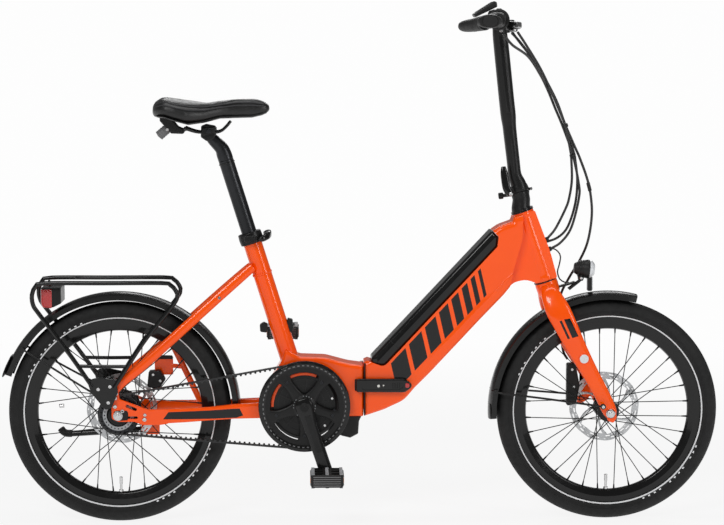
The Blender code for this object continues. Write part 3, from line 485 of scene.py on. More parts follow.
def flow(stations, steps=5, sides=24, power=1.0, dome=0.0):
    """A bar through (x, y, z, sideways radius, other radius) stations, smoothed between them."""
    rows = catmull(stations, steps)
    return bar([r[:3] for r in rows], [(r[3], r[4]) for r in rows], sides, power, dome)


def cylinder(start, end, radius, sides=32, edge=0.6):
    return bar([start, end], radius, sides, dome=edge)


def turned(profile, sides=64, centre=(0, 0, 0), axis=(0, 1, 0)):
    """A closed profile of (radius, distance along the axis) points, turned a full circle."""
    turn = Vector((0, 1, 0)).rotation_difference(Vector(axis)).to_matrix()
    rings = []
    for k in range(sides):
        angle = math.tau * k / sides
        spoke = Vector((math.cos(angle), 0, math.sin(angle)))
        rings.append([turn @ (spoke * r + Vector((0, t, 0))) + Vector(centre) for r, t in profile])
    return loft(rings, wrap=True)


def turned_round(corners, sides=64, centre=(0, 0, 0), axis=(0, 1, 0)):
    """turned(), with (radius, distance, corner radius) corners that are arcs."""
    return turned([tuple(p) for p in rounded(corners)], sides, centre, axis)


def bolt(at, radius, depth, axis=(0, 1, 0), socket=True):
    """A cap screw's head on a face: at is the face's point, and axis looks out of it."""
    rim, hollow = radius * 0.18, radius * 0.52
    profile = [(0.02, -1.0), (radius, -1.0), (radius, depth - rim), (radius - rim, depth)]
    profile += [(hollow, depth), (hollow * 0.9, depth * 0.35), (0.02, depth * 0.35)] if socket \
        else [(0.02, depth + rim)]
    return turned(profile, 18, at, axis)


def join(*meshes):
    """Several bmeshes as one, left as separate bodies."""
    first = meshes[0]
    for other in meshes[1:]:
        mesh = bpy.data.meshes.new("part")
        other.to_mesh(mesh)
        other.free()
        first.from_mesh(mesh)
        bpy.data.meshes.remove(mesh)
    return first


def combine(operation, first, *others):
    """Boolean of bmeshes, on helper objects that are removed again."""
    helpers = []
    for bm in (first, *others):
        mesh = bpy.data.meshes.new("helper")
        bm.to_mesh(mesh)
        bm.free()
        helper = bpy.data.objects.new("helper", mesh)
        bpy.context.scene.collection.objects.link(helper)
        helpers.append(helper)
    for other in helpers[1:]:
        modifier = helpers[0].modifiers.new("combine", "BOOLEAN")
        modifier.operation = operation
        modifier.object = other
        modifier.solver = "EXACT"
    graph = bpy.context.evaluated_depsgraph_get()
    result = bmesh.new()
    result.from_mesh(helpers[0].evaluated_get(graph).to_mesh())
    for helper in helpers:
        mesh = helper.data
        bpy.data.objects.remove(helper)
        bpy.data.meshes.remove(mesh)
    return result


def union(first, *others):
    return combine("UNION", first, *others)


def cut(first, *others):
    return combine("DIFFERENCE", first, *others)


def paint(bm, polygon, index, facing):
    """Gives the material at this index to what lies in a convex (x, z) polygon, on one side's faces."""
    points = [Vector((x, 0, z)) for x, z in polygon]
    middle = sum(points, Vector()) / len(points)
    planes = []
    for a, b in zip(points, points[1:] + points[:1]):
        normal = Vector((b.z - a.z, 0, a.x - b.x)).normalized()
        if normal.dot(middle - a) < 0:
            normal.negate()
        planes.append((a, normal))
    low = Vector((min(p.x for p in points), 0, min(p.z for p in points)))
    high = Vector((max(p.x for p in points), 0, max(p.z for p in points)))
    for at, normal in planes:
        faces = []
        for face in bm.faces:
            xs = [v.co.x for v in face.verts]
            zs = [v.co.z for v in face.verts]
            if face.normal.y * facing > 0.3 and max(xs) > low.x and min(xs) < high.x \
                    and max(zs) > low.z and min(zs) < high.z:
                faces.append(face)
        edges = list({e for f in faces for e in f.edges})
        verts = list({v for f in faces for v in f.verts})
        bmesh.ops.bisect_plane(bm, geom=verts + edges + faces, dist=1e-4, plane_co=at,
                               plane_no=normal)
    for face in bm.faces:
        if face.normal.y * facing > 0.3:
            centre = face.calc_center_median()
            if all((centre - at).dot(normal) > -1e-3 for at, normal in planes):
                face.material_index = index


def piece(name, bm, looks, body, replaces=(), sharp=35.0, flat=True):
    """Puts a mesh in the scene as a piece that rides on a body."""
    bmesh.ops.transform(bm, matrix=TO_WORLD, verts=bm.verts)
    bmesh.ops.recalc_face_normals(bm, faces=bm.faces)
    mesh = bpy.data.meshes.new(name)
    bm.to_mesh(mesh)
    bm.free()
    mesh.shade_smooth()
    mesh.set_sharp_from_angle(angle=math.radians(sharp))
    for look in [looks] if isinstance(looks, str) else looks:
        mesh.materials.append(LOOK[look])
    obj = bpy.data.objects.new(name, mesh)
    bpy.context.scene.collection.objects.link(obj)
    if flat:
        weighted = obj.modifiers.new("flat faces stay flat", "WEIGHTED_NORMAL")
        weighted.keep_sharp = True
    if body:
        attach(obj, body)
    if replaces:
        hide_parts(*([replaces] if isinstance(replaces, str) else replaces))
    return obj


def bake(obj):
    """Applies an object's modifiers to its mesh."""
    graph = bpy.context.evaluated_depsgraph_get()
    graph.update()
    mesh = bpy.data.meshes.new_from_object(obj.evaluated_get(graph), depsgraph=graph)
    obj.modifiers.clear()
    obj.data = mesh


def seat_point(along):
    return SEAT_COLLAR + SEAT_AXIS * along


def bar_point(y, dx=0.0, dz=0.0):
    """A point on the handlebar's centre line at this sideways place, moved by dx and dz."""
    past = max(0.0, abs(y) - BAR_STRAIGHT)
    return BAR_CENTRE + Vector((dx - past * BAR_SWEEP, y, dz - past * BAR_DROP))


# ---------------------------------------------------------------- frame: front half
TUBE_HALF = 39.0
UPPER_EDGE = Vector((564, 0, 371))


def on_tube(along, depth):
    """A point on the main tube's side: along it from the battery's foot, and below its upper edge."""
    point = UPPER_EDGE + TUBE_SLOPE * along - TUBE_NORMAL * depth
    return (point.x, point.z)


def crease(bm, points, rise, facing):
    """Folds one side of a slab along a line of (x, z) points, which stands out by rise."""
    line = [Vector((x, 0, z)) for x, z in points]
    for a, b in zip(line, line[1:]):
        heading = (b - a).normalized()
        faces = [f for f in bm.faces if f.normal.y * facing > 0.97]
        keep = []
        for face in faces:
            reach = [(v.co - a).dot(heading) for v in face.verts]
            if max(reach) > 0 and min(reach) < (b - a).length:
                keep.append(face)
        edges = list({e for f in keep for e in f.edges})
        verts = list({v for f in keep for v in f.verts})
        normal = Vector((-heading.z, 0, heading.x))
        bmesh.ops.bisect_plane(bm, geom=verts + edges + keep, dist=1e-4, plane_co=a, plane_no=normal)
    for vert in bm.verts:
        if not any(f.normal.y * facing > 0.9 for f in vert.link_faces):
            continue
        flat = Vector((vert.co.x, 0, vert.co.z))
        for a, b in zip(line, line[1:]):
            span = b - a
            share = (flat - a).dot(span) / span.length_squared
            if -0.01 <= share <= 1.01 and (flat - a - span * share).length < 0.05:
                vert.co.y += rise * facing
                break


def tube_graphics():
    """Slanted bars across the tube that get narrower uphill, as convex (x, z) polygons."""
    bars, along = [], 24.0
    for width in (48, 41, 35, 29, 23, 18, 13, 9):
        bars.append([(along, 39), (along + width, 39), (along + width - 34, 90), (along - 34, 90)])
        along += width + 11
    return [[on_tube(u, v) for u, v in shape] for shape in bars]


def front_frame():
    outline = [
        (548.5, 241, 3), (594, 256, 60), (639, 277, 50), (663, 305, 60), (699, 341, 300),
        (812, 462, 300), (862, 514, 70), (884, 541, 30), (913, 548.5, 50), (937, 539.5, 6),
        (984, 551.8, 5), (968, 610, 200), (932, 704, 5), (884, 690, 3), (881, 680, 5),
        (853, 670, 40), (831, 655, 20), (564, 371, 14), (548.5, 364, 3),
    ]
    tube = slab(outline, -TUBE_HALF, TUBE_HALF, edge=11, steps=5)
    head_cut = [(870, 500, 4), (1010, 500, 4), (1010, 740, 4), (906, 740, 4), (903, 640, 30),
                (884, 575, 30)]
    for facing in (RIGHT, LEFT):
        tube = cut(tube, slab(head_cut, 21 * facing, 70 * facing, edge=3))
    head = turned_round([(17, -3, 0.5), (24.6, -3, 1.5), (24.6, 8, 2), (23.4, 14, 6), (23.4, 150, 6),
                         (24.6, 156, 2), (24.6, 164.2, 1.5), (17, 164.2, 0.5)], 56, HEAD_BOTTOM,
                        STEERING_AXIS)
    tube = union(tube, head)
    band = slab([(*on_tube(-17, -24), 1), (*on_tube(8, 33.4), 14),
                 (*on_tube(378, 33.4), 1), (*on_tube(396, 20), 6), (*on_tube(398, -24), 1)],
                -60, 60, edge=1)
    tube = cut(tube, band)
    for facing in (RIGHT, LEFT):
        crease(tube, [(560, 285), (622, 303), (650, 322), (800, 480), (856, 538), (884, 560),
                      (930, 566)], 1.3, facing)
        for shard in tube_graphics():
            paint(tube, shard, 1, facing)
    piece("main_tube", tube, ["orange", "black_gloss"], "front_frame", "front_frame",
          sharp=28)
    pin = HINGE_PIN
    knuckle = join(cylinder((pin.x, pin.y, 276.5), (pin.x, pin.y, 320.5), 8, 24),
                   box((549.5, 22, 277), (563, 46, 320), 1.5))
    piece("front_hinge_knuckle", knuckle, "orange", "front_frame")
    seam = slab([(549, 243, 1), (552, 244, 1), (552, 363, 1), (549, 362, 1)], -38.6, 38.6, 0.5)
    piece("hinge_face_seal", seam, "black_satin", "front_frame")


def head_rings():
    """The black bearing cover below the head tube, and the cable ports' collars."""
    low = turned_round([(17, -3.6, 0.3), (25.6, -3.6, 0.6), (25.6, -0.4, 0.6), (17, -0.4, 0.3)], 56,
                       HEAD_BOTTOM, STEERING_AXIS)
    piece("lower_headset_cover", low, "black_satin", "steering")
    ports = []
    for x, z, y in ((962.5, 638, -11), (971, 615, 7)):
        centre = Vector((x, y, z))
        ports.append(turned_round([(2.6, -4, 0.4), (6.2, -4, 1), (5, 2.4, 1), (2.6, 2.4, 0.4)], 24,
                                  centre, (0.947, 0, 0.322)))
    piece("cable_ports", join(*ports), "rubber", "front_frame")


def battery():
    """The battery's cover along the tube's upper edge, its case, its lock and a joint line across the cover."""
    corners = [(*on_tube(-14, -0.5), 13), (*on_tube(9, 32.6), 13), (*on_tube(377.4, 32.8), 3),
               (*on_tube(394.8, 19.6), 6), (*on_tube(397, -0.5), 4)]
    cover = slab(corners, -TUBE_HALF + 0.3, TUBE_HALF - 0.3, edge=9, steps=5)
    for facing in (RIGHT, LEFT):
        crease(cover, [on_tube(-30, 15), on_tube(420, 15)], 1.1, facing)
    piece("battery_cover", cover, "black_gloss", "battery", "battery", sharp=24)
    case = slab([(*on_tube(33, 12), 3), (*on_tube(33, 76), 3), (*on_tube(350, 76), 3),
                 (*on_tube(350, 12), 3)], -26, 26, edge=3)
    piece("battery_case", case, "black_plastic", "battery")
    lock = cylinder((640, 39.4, 424), (640, 36, 424), 7.5, 32)
    slot = box((638.9, 39.2, 420), (641.1, 40.2, 428), 0.4)
    piece("battery_lock", join(lock, slot), "steel", "battery")
    joint = slab([(*on_tube(60, 0.2), 0.3), (*on_tube(60, 33), 0.3), (*on_tube(61.2, 33), 0.3),
                  (*on_tube(61.2, 0.2), 0.3)], -38.9, 38.9, 0.3)
    piece("battery_cover_joint", joint, "rubber", "battery")


# ---------------------------------------------------------------- frame: rear half
def rear_yoke():
    outline = [
        (547.5, 356, 3), (547.5, 241, 3), (500, 241, 20), (415, 262, 60), (331, 283, 8),
        (331, 300, 8), (343, 330, 20), (363, 366, 20), (372, 394, 5), (404, 376.5, 26),
        (462, 374.5, 60), (512, 361, 40),
    ]
    block = slab(outline, -38, 38, edge=8, steps=5)
    tube = bar([seat_point(-285), seat_point(11)], 21, 56, dome=1)
    yoke = union(block, tube)
    motor_bore = bar([CRANK_CENTRE - Vector((0, 70, 0)), CRANK_CENTRE + Vector((0, 70, 0))], 80.7, 96)
    post_bore = bar([seat_point(-235), seat_point(20)], 17.4, 48)
    yoke = cut(yoke, motor_bore, post_bore)
    piece("frame_yoke", yoke, "orange", "rear_frame", "rear_yoke", sharp=32)
    knuckles = []
    for low, high in ((246, 275.4), (321.6, 350)):
        knuckles.append(cylinder((HINGE_PIN.x, HINGE_PIN.y, low), (HINGE_PIN.x, HINGE_PIN.y, high),
                                 8, 24))
        knuckles.append(box((528, 22, low), (546, 46, high), 1.5))
    piece("rear_hinge_knuckles", join(*knuckles), "orange", "rear_frame")
    weld = turned_round([(20.4, -2.4, 0.8), (22.6, -2.4, 1.2), (22.6, 2.4, 1.2), (20.4, 2.4, 0.8)],
                        56, seat_point(-84), SEAT_AXIS)
    piece("stay_weld", weld, "orange", "rear_frame")


def chainstays():
    for side, name in ((RIGHT, "right"), (LEFT, "left")):
        plate = slab(
            [(-11.5, 311, 3), (1.5, 311, 3), (3.5, 288, 6), (66, 264, 30), (112, 265, 3),
             (112, 232, 3), (93, 229, 6), (56, 229, 6), (36, 236.5, 10), (2, 236.5, 14),
             (-14, 243, 8), (-14.5, 276, 30)], 58.4 * side, 66 * side, edge=1.6)
        slots = [
            [(16, 270, 3.4), (40, 260, 3.4), (43.5, 266, 3.4), (19, 276.5, 3.4)],
            [(22, 243, 3), (44, 243, 3), (44, 249, 3), (22, 249, 3)],
        ]
        plate = cut(plate, *[slab(s, 50 * side, 75 * side, edge=0.5, steps=1) for s in slots],
                    bar([(0, 50 * side, 250), (0, 75 * side, 250)], 6, 24))
        stations = [(98, 248.5, 16.5, 62, 4), (150, 250, 15.8, 58, 5.4), (200, 252.2, 15.2, 52, 7),
                    (255, 254.6, 16.4, 38, 7), (334, 257, 18, 33.5, 7.5)]
        arm = bar([(x, y * side, z) for x, z, _, y, _ in stations],
                  [(wide, tall) for _, _, tall, _, wide in stations], 28, power=0.42)
        stay = union(plate, arm)
        if side == LEFT:
            stay = union(stay, slab([(42, 186, 4), (84, 186, 4), (84, 235, 4), (42, 235, 4)], 58.6,
                                    65.8, edge=1.5))
        panel = [(100, 242), (112, 258), (270, 262), (278, 246), (262, 241)]
        paint(stay, panel, 1, side)
        piece(f"{name}_stay", stay, ["orange", "black_gloss"], "rear_frame",
              f"{name}_chainstay", sharp=30)
        heads = [bolt((x, 66 * side, z), r, 2.6, (0, side, 0))
                 for x, z, r in ((-18 + 12, 290, 4.6), (-6, 271, 4.2), (10, 263 - 2, 4.2),
                                 (59, 242, 4.6), (60, 252, 3.6))]
        piece(f"{name}_dropout_bolts", join(*heads), "bolt", "rear_frame")
        insert = slab([(-9, 262, 6), (22, 262, 6), (24, 240, 6), (-9, 240, 6)], 66.1 * side,
                      67.4 * side, edge=0.5)
        insert = cut(insert, bar([(0, 50 * side, 250), (0, 75 * side, 250)], 6.2, 24))
        piece(f"{name}_dropout_plate", insert, "black_satin", "rear_frame")


def seat_stays():
    for side, name in ((RIGHT, "right"), (LEFT, "left")):
        stations = [(301, 20.5 * side, 579, 7.2, 9.6), (286, 22 * side, 566.5, 8, 11),
                    (226, 34 * side, 514, 8.6, 11.2),
                    (160, 45 * side, 455, 8.4, 11), (60, 58 * side, 366, 8.2, 11),
                    (12, 61 * side, 327, 7, 10.4), (-5, 61.5 * side, 309, 4.4, 10)]
        stay = flow(stations, 6, 28, power=0.85, dome=1.5)
        if side == LEFT:
            brace = flow([(106, 53, 414, 5, 7), (142, 52, 340, 6, 7), (179, 50, 262, 5, 7)], 5, 24,
                         power=0.7, dome=1)
            stay = union(stay, brace)
        piece(f"{name}_stay_upper", stay, "orange", "rear_frame",
              f"{name}_seat_stay", sharp=32)
        heads = [bolt((226, 42.4 * side, 511), 3.4, 1.8, (0.2, side, 0.1)),
                 bolt((-3, 65.6 * side, 300), 4.2, 2.4, (0, side, 0))]
        piece(f"{name}_stay_bolts", join(*heads), "bolt", "rear_frame")
    box_side = slab([(74, 324, 3), (116, 324, 3), (116, 361, 4), (74, 361, 4)], 57.4, 64, edge=1.4)
    lid = slab([(73, 360, 2), (117, 360, 2), (114, 368, 3), (78, 369, 3)], 56.4, 65, edge=1.4)
    arm = flow([(112, 60, 345, 3, 5), (140, 58, 342, 3, 5)], 4, 18)
    piece("caliper_box", join(box_side, arm), "orange", "rear_frame")
    piece("caliper_box_lid", lid, "black_satin", "rear_frame")
    bridge = flow([(224, -32, 512, 8, 8), (224, 0, 514, 7, 7), (224, 32, 512, 8, 8)], 4, 20)
    piece("stay_bridge", bridge, "orange", "rear_frame")


def seat_clamp():
    ring = turned_round([(21.4, -13, 0.6), (26, -13, 2.4), (27, -2, 3), (27, 3, 3), (26, 13, 2.4),
                         (17.4, 13, 0.6), (17.4, 11.4, 0.3), (21.4, 11.4, 0.3)], 64, SEAT_COLLAR,
                        SEAT_AXIS)
    ear = slab([(282, 635, 3), (311, 635, 5), (311, 649.5, 5), (282, 649.5, 3)], -40.5, -22, 2)
    rod = cylinder((300, -41, 642), (300, -45, 642), 7, 24)
    piece("seat_collar", join(ring, ear, rod), "black_satin", "rear_frame",
          "seat_clamp_collar")
    lever = flow([(315, -33, 641, 5.5, 5.5), (324, -32, 643, 6, 7), (335, -20, 649, 4.6, 8),
                  (338.5, 4, 651, 4, 8.4), (333, 28, 650, 3.6, 8), (325, 40, 648, 2.6, 5)], 6, 24,
                 power=0.8, dome=1.6)
    pin = cylinder((318, -41, 641), (318, -25, 641), 4, 24)
    piece("seat_quick_release", join(lever, pin), "black_gloss", "seat_clamp_lever",
          "seat_clamp_lever")


def bump_stop():
    """The small black folding stop bolted to the front and back of the seat tube."""
    front = slab([(382, 430, 1), (375, 452, 1), (378, 461, 2), (389, 458, 3), (391, 437, 3),
                  (387, 429, 1)], -9, 9, edge=2)
    back = slab([(331, 428, 3), (333, 448, 3), (324, 452, 4), (315, 446, 4), (316, 430, 4)], -9, 9,
                edge=2.4)
    piece("folding_stop", join(front, back), "black_satin", "rear_frame")


def frame_latch():
    z0, z1 = 298, 329
    lever = slab([(531, z0 + 1, 5), (640, z0, 16), (661.5, z0 + 15.5, 13), (640, z1, 16),
                  (531, z1, 5)], -54.6, -44, edge=3.2, steps=4)
    dish = slab([(544, z0 + 6, 5), (628, z0 + 6, 6), (640, z0 + 15, 7), (628, z1 - 6, 6),
                 (544, z1 - 6, 5)], -60, -53.4, edge=0.6, steps=2)
    lever = cut(lever, dish)
    piece("frame_latch_lever", lever, "black_gloss", "frame_latch", "frame_latch")
    ribs = [box((612 + 5 * k, -54.2, z0 + 9), (614 + 5 * k, -53.2, z1 - 9), 0.4) for k in range(4)]
    catch = slab([(641, 309, 2), (650, 309, 4), (650, 319, 4), (641, 319, 2)], -55.4, -53.9, 0.5)
    piece("latch_ribs", join(*ribs), "black_satin", "frame_latch")
    piece("latch_catch", catch, "red_lens", "frame_latch")
    # the rivet heads are coloured light warm white, a painted highlight in place of the glints on them
    dots = join(bolt((581, -54.0, 313), 3.1, 0.9, (0, -1, 0)), bolt((592, -53.6, 314), 1.8, 0.6,
                                                                    (0, -1, 0)))
    piece("latch_rivets", dots, "warm_white", "frame_latch")
    block = slab([(528, 300, 3), (546, 300, 3), (546, 327, 3), (528, 327, 3)], -44, -36, 2)
    hook = slab([(551, 302, 3), (640, 304, 6), (640, 322, 6), (551, 324, 3)], -43, -38, 1.5)
    piece("latch_block", block, "black_satin", "rear_frame")
    piece("latch_hook", hook, "black_satin", "front_frame")


# ---------------------------------------------------------------- wheels
TREAD_BLOCKS = 66
TYRE_HALF = 23.5


def tyre_mesh(centre):
    """A tyre whose crown is cut by a centre line, two side lines and slanted grooves."""
    per_block, around = 6, 34
    section = TYRE_RADIUS - TYRE_MIDDLE
    rings = []
    for k in range(TREAD_BLOCKS * per_block):
        angle = math.tau * k / (TREAD_BLOCKS * per_block)
        spoke = Vector((math.cos(angle), 0, math.sin(angle)))
        ring = []
        for j in range(around):
            bead = math.radians(-38 + 256 * j / (around - 1))
            out, side = math.sin(bead), math.cos(bead)
            tread = max(0.0, 1 - ((bead - math.pi / 2) / math.radians(63)) ** 6)
            slant = (k + 2.0 * abs(side) * per_block / 2) % per_block
            groove = 1.0 if slant < 1.4 and abs(side) > 0.3 else 0.0
            line = 1.0 if abs(abs(side) - 0.34) < 0.05 or abs(side) < 0.03 else 0.0
            depth = 1.3 * max(groove, line) * tread
            r = TYRE_MIDDLE + (section - TREAD_DEPTH * (1 - tread) - depth) * out
            ring.append(centre + spoke * r + Vector((0, (TYRE_HALF - depth * 0.4) * side, 0)))
        ring.append(centre + spoke * 211.5 + Vector((0, -13.5, 0)))
        ring.append(centre + spoke * 211.5 + Vector((0, 13.5, 0)))
        rings.append(ring)
    return loft(rings, wrap=True)


def side_ring(centre, radius, width, side, steps=160, lift=0.35):
    """A thin raised band on the tyre's sidewall at this radius."""
    rings = []
    for k in range(steps):
        angle = math.tau * k / steps
        spoke = Vector((math.cos(angle), 0, math.sin(angle)))
        ring = []
        for r, extra in ((radius - width / 2, -0.6), (radius - width / 2 + 0.3, lift),
                         (radius + width / 2 - 0.3, lift), (radius + width / 2, -0.6)):
            out = (r - TYRE_MIDDLE) / (TYRE_RADIUS - TYRE_MIDDLE - TREAD_DEPTH)
            y = TYRE_HALF * math.sqrt(max(0.0, 1 - out * out)) + extra
            ring.append(centre + spoke * r + Vector((0, y * side, 0)))
        rings.append(ring)
    return loft(rings, wrap=True)


def sidewall_marks(centre, side):
    """Short raised dashes on the sidewall, in two groups."""
    marks = []
    for k in range(96):
        if not 29 < k % 48 < 43 or k % 48 in (34, 39):
            continue
        angle = math.tau * k / 96
        middle = math.radians(0.62)
        ring_set = []
        for r in (216.8, 219.6):
            out = (r - TYRE_MIDDLE) / (TYRE_RADIUS - TYRE_MIDDLE - TREAD_DEPTH)
            y = TYRE_HALF * math.sqrt(1 - out * out)
            ring_set.append((r, y))
        rings = []
        for turn in (angle - middle, angle + middle):
            spoke = Vector((math.cos(turn), 0, math.sin(turn)))
            (r0, y0), (r1, y1) = ring_set
            rings.append([centre + spoke * r0 + Vector((0, (y0 - 0.5) * side, 0)),
                          centre + spoke * r0 + Vector((0, (y0 + 0.35) * side, 0)),
                          centre + spoke * r1 + Vector((0, (y1 + 0.35) * side, 0)),
                          centre + spoke * r1 + Vector((0, (y1 - 0.5) * side, 0))])
        marks.append(loft(rings))
    return join(*marks)


def rim_mesh(centre):
    return turned_round([(212.2, -12.6, 0.8), (212.2, -10.8, 0.8), (205, -10, 2), (203, 0, 12),
                         (205, 10, 2), (212.2, 10.8, 0.8), (212.2, 12.6, 0.8), (199, 12.6, 2.5),
                         (186, 8, 4), (183, 0, 6), (186, -8, 4), (199, -12.6, 2.5)], 128, centre)


def spoke_ends(k, phase, flange_radius, flange_y):
    side = LEFT if k % 2 else RIGHT
    lead = 1 if k % 4 < 2 else -1
    at_rim = math.tau * (k + phase) / SPOKES
    at_hub = at_rim + lead * math.radians(58)
    y = flange_y * side + 2.2 * lead
    start = Vector((flange_radius * math.cos(at_hub), y, flange_radius * math.sin(at_hub)))
    end = Vector((184 * math.cos(at_rim), 3 * side, 184 * math.sin(at_rim)))
    return start, end, y - flange_y * side


def spokes(centre, flange_radius, flange_y, phase=0.5):
    rods, nipples = [], []
    for k in range(SPOKES):
        start, end, offset = spoke_ends(k, phase, flange_radius, flange_y)
        along = (end - start).normalized()
        rods.append(bar([centre + start, centre + end - along * 8], 1.05, 8))
        elbow = Vector((0, -1 if offset > 0 else 1, 0))
        rods.append(bar([centre + start, centre + start + elbow * 4.4], 1.15, 8, dome=0.3))
        nipples.append(bar([centre + end - along * 11, centre + end + along * 0.5], [1.5, 2.2], 8,
                           dome=0.4))
    return join(*rods), join(*nipples)


def valve(centre):
    parts = [bar([centre + Vector((0, 0, -184)), centre + Vector((0, 0, -152))], 2.9, 16, dome=0.5),
             bar([centre + Vector((0, 0, -184)), centre + Vector((0, 0, -179))], 5.2, 6, dome=0.5),
             bar([centre + Vector((0, 0, -166)), centre + Vector((0, 0, -150))], 3.8, 16, dome=1.2)]
    return join(*parts)


def rotor_mesh(centre):
    """A wavy brake rotor with slotted rows in its ring and six swept arms."""
    around, half = 216, 0.9
    radii = [64.2, 66.0, 67.6, 70.6, 72.2, 75.0, 76.6, 79.4]
    waves = 12
    bm = bmesh.new()

    def ring_radius(row, k):
        swing = math.sin(math.tau * waves * k / around)
        return radii[row] + (1.0 * swing if row in (0, 1) else 0.55 * swing if row == 7 else 0)

    layers = []
    for y in (-half, half):
        layers.append([[bm.verts.new(centre + Vector((ring_radius(r, k) * math.cos(math.tau * k / around),
                                                      y,
                                                      ring_radius(r, k) * math.sin(math.tau * k / around))))
                        for k in range(around)] for r in range(len(radii))])
    open_quads = set()
    for k in range(around):
        if k % 18 in (2, 3, 4, 5, 6):
            open_quads.add((2, k))
        if k % 18 in (8, 9, 10, 11, 12):
            open_quads.add((4, k))
        if k % 9 in (0, 1):
            open_quads.add((5, k)) if k % 18 < 9 else open_quads.add((1, k))
    rows = len(radii) - 1

    def solid(row, k):
        return 0 <= row < rows and (row, k % around) not in open_quads

    for row in range(rows):
        for k in range(around):
            if not solid(row, k):
                continue
            n = (k + 1) % around
            low, high = layers
            bm.faces.new((low[row][k], low[row][n], low[row + 1][n], low[row + 1][k]))
            bm.faces.new((high[row][k], high[row + 1][k], high[row + 1][n], high[row][n]))
            for there, a, b in ((solid(row - 1, k), (row, k), (row, n)),
                                (solid(row + 1, k), (row + 1, n), (row + 1, k)),
                                (solid(row, k - 1), (row + 1, k), (row, k)),
                                (solid(row, k + 1), (row, n), (row + 1, n))):
                if not there:
                    bm.faces.new((low[a[0]][a[1]], high[a[0]][a[1]], high[b[0]][b[1]], low[b[0]][b[1]]))
    bmesh.ops.recalc_face_normals(bm, faces=bm.faces)
    arms = []
    for k in range(6):
        angle = math.tau * k / 6
        path = []
        for t in range(7):
            turn = angle + math.radians(34) * t / 6
            r = 20 + 46.5 * t / 6
            path.append(centre + Vector((r * math.cos(turn), 0, r * math.sin(turn))))
        arms.append(bar(path, [(half, 4.4 - 2.2 * math.sin(math.pi * t / 6)) for t in range(7)], 12,
                        power=0.5))
    hub = turned_round([(16, -half - 0.4, 0.3), (26, -half - 0.4, 0.5), (26, half + 0.4, 0.5),
                        (16, half + 0.4, 0.3)], 48, centre)
    heads = [bolt(centre + Vector((22 * math.cos(math.tau * k / 6), half + 0.4,
                                   22 * math.sin(math.tau * k / 6))), 2.6, 1.6) for k in range(6)]
    return join(bm, hub, *arms, *heads)


def wheels():
    for body, centre, flange, flange_y in (("rear_wheel", REAR_AXLE, 41.5, 30.5),
                                           ("front_wheel", FRONT_AXLE, 21.5, 28.5)):
        end = body.split("_")[0]
        piece(f"{end}_tread", tyre_mesh(centre), "tyre", body, f"{end}_tyre", sharp=50)
        bands = join(*[side_ring(centre, 214.0, 3.0, s) for s in (RIGHT, LEFT)])
        piece(f"{end}_reflective_band", bands, "stripe", body)
        ribs = join(*[side_ring(centre, r, 1.0, s, lift=0.3) for s in (RIGHT, LEFT)
                      for r in (222.4, 225.6)])
        piece(f"{end}_sidewall_ribs", ribs, "tyre", body)
        marks = join(*[sidewall_marks(centre, s) for s in (RIGHT, LEFT)])
        piece(f"{end}_sidewall_marks", marks, "stripe", body)
        piece(f"{end}_rim_profile", rim_mesh(centre), "black_gloss", body,
              f"{end}_rim", sharp=40)
        rods, nipples = spokes(centre, flange, flange_y)
        piece(f"{end}_spokes", rods, "spoke", body)
        piece(f"{end}_nipples", nipples, "spoke", body)
        piece(f"{end}_valve", valve(centre), "bolt", body)
    rear_shell = [(7, -42, 0.5), (20, -42, 1), (24, -36, 2), (45.5, -34.5, 1.2), (45.5, -28.5, 1.2),
                  (39.5, -26, 4), (39.5, 26, 4), (45.5, 28.5, 1.2), (45.5, 34.5, 1.2), (26, 35, 3),
                  (24, 40, 1), (7, 40, 0.5)]
    shell = turned_round(rear_shell, 72, REAR_AXLE)
    fins = [turned_round([(39, y, 0.3), (41.4, y, 0.8), (41.4, y + 2.4, 0.8), (39, y + 2.4, 0.3)], 72,
                         REAR_AXLE) for y in (-16, -8, 0, 8, 16)]
    piece("rear_hub_shell", join(shell, *fins), "black_satin", "rear_wheel",
          "rear_hub")
    front_shell = [(6, -48, 0.3), (11, -48, 1), (12, -37, 1), (20, -33, 2), (24.4, -31.5, 1),
                   (24.4, -27, 1), (15, -23, 5), (13.5, 0, 30), (15, 22, 5), (24.4, 26, 1),
                   (24.4, 31, 1), (15, 33.5, 1.5), (15, 36.8, 0.5), (6, 36.8, 0.3)]
    piece("front_hub_shell", turned_round(front_shell, 64, FRONT_AXLE), "black_satin", "front_wheel",
          "front_hub")
    piece("rear_brake_disc", rotor_mesh(REAR_AXLE + Vector((0, 42, 0))), "steel", "rear_wheel",
          "rear_rotor", sharp=30)
    piece("front_brake_disc", rotor_mesh(FRONT_AXLE + Vector((0, 38.5, 0))), "steel", "front_wheel",
          "front_rotor", sharp=30)
    magnet = bar([REAR_AXLE + Vector((-136, -9, 14)), REAR_AXLE + Vector((-125, -10, 15))], 4.4, 16,
                 dome=1)
    piece("spoke_magnet", magnet, "bolt", "rear_wheel")
    for body, centre, reach, name in (("rear_frame", REAR_AXLE, 66.4, "rear"),
                                      ("steering", FRONT_AXLE, 66.6, "front")):
        parts = []
        for side in (RIGHT, LEFT):
            base = centre + Vector((0, reach * side, 0))
            parts.append(bar([base, base + Vector((0, 1.4 * side, 0))], 10.5, 40, dome=0.4))
            nut = base + Vector((0, 1.4 * side, 0))
            parts.append(bar([nut, nut + Vector((0, 5 * side, 0))], 8.8, 6, dome=0.8))
            parts.append(bar([base, base + Vector((0, 8.6 * side, 0))], 4.8, 24, dome=1))
        node_name = "rear_axle" if name == "rear" else "front_axle"
        piece(f"{name}_axle_nuts", join(*parts), "bolt", body)
        frame["nodes"][node_name].data.materials[0] = LOOK["steel"]


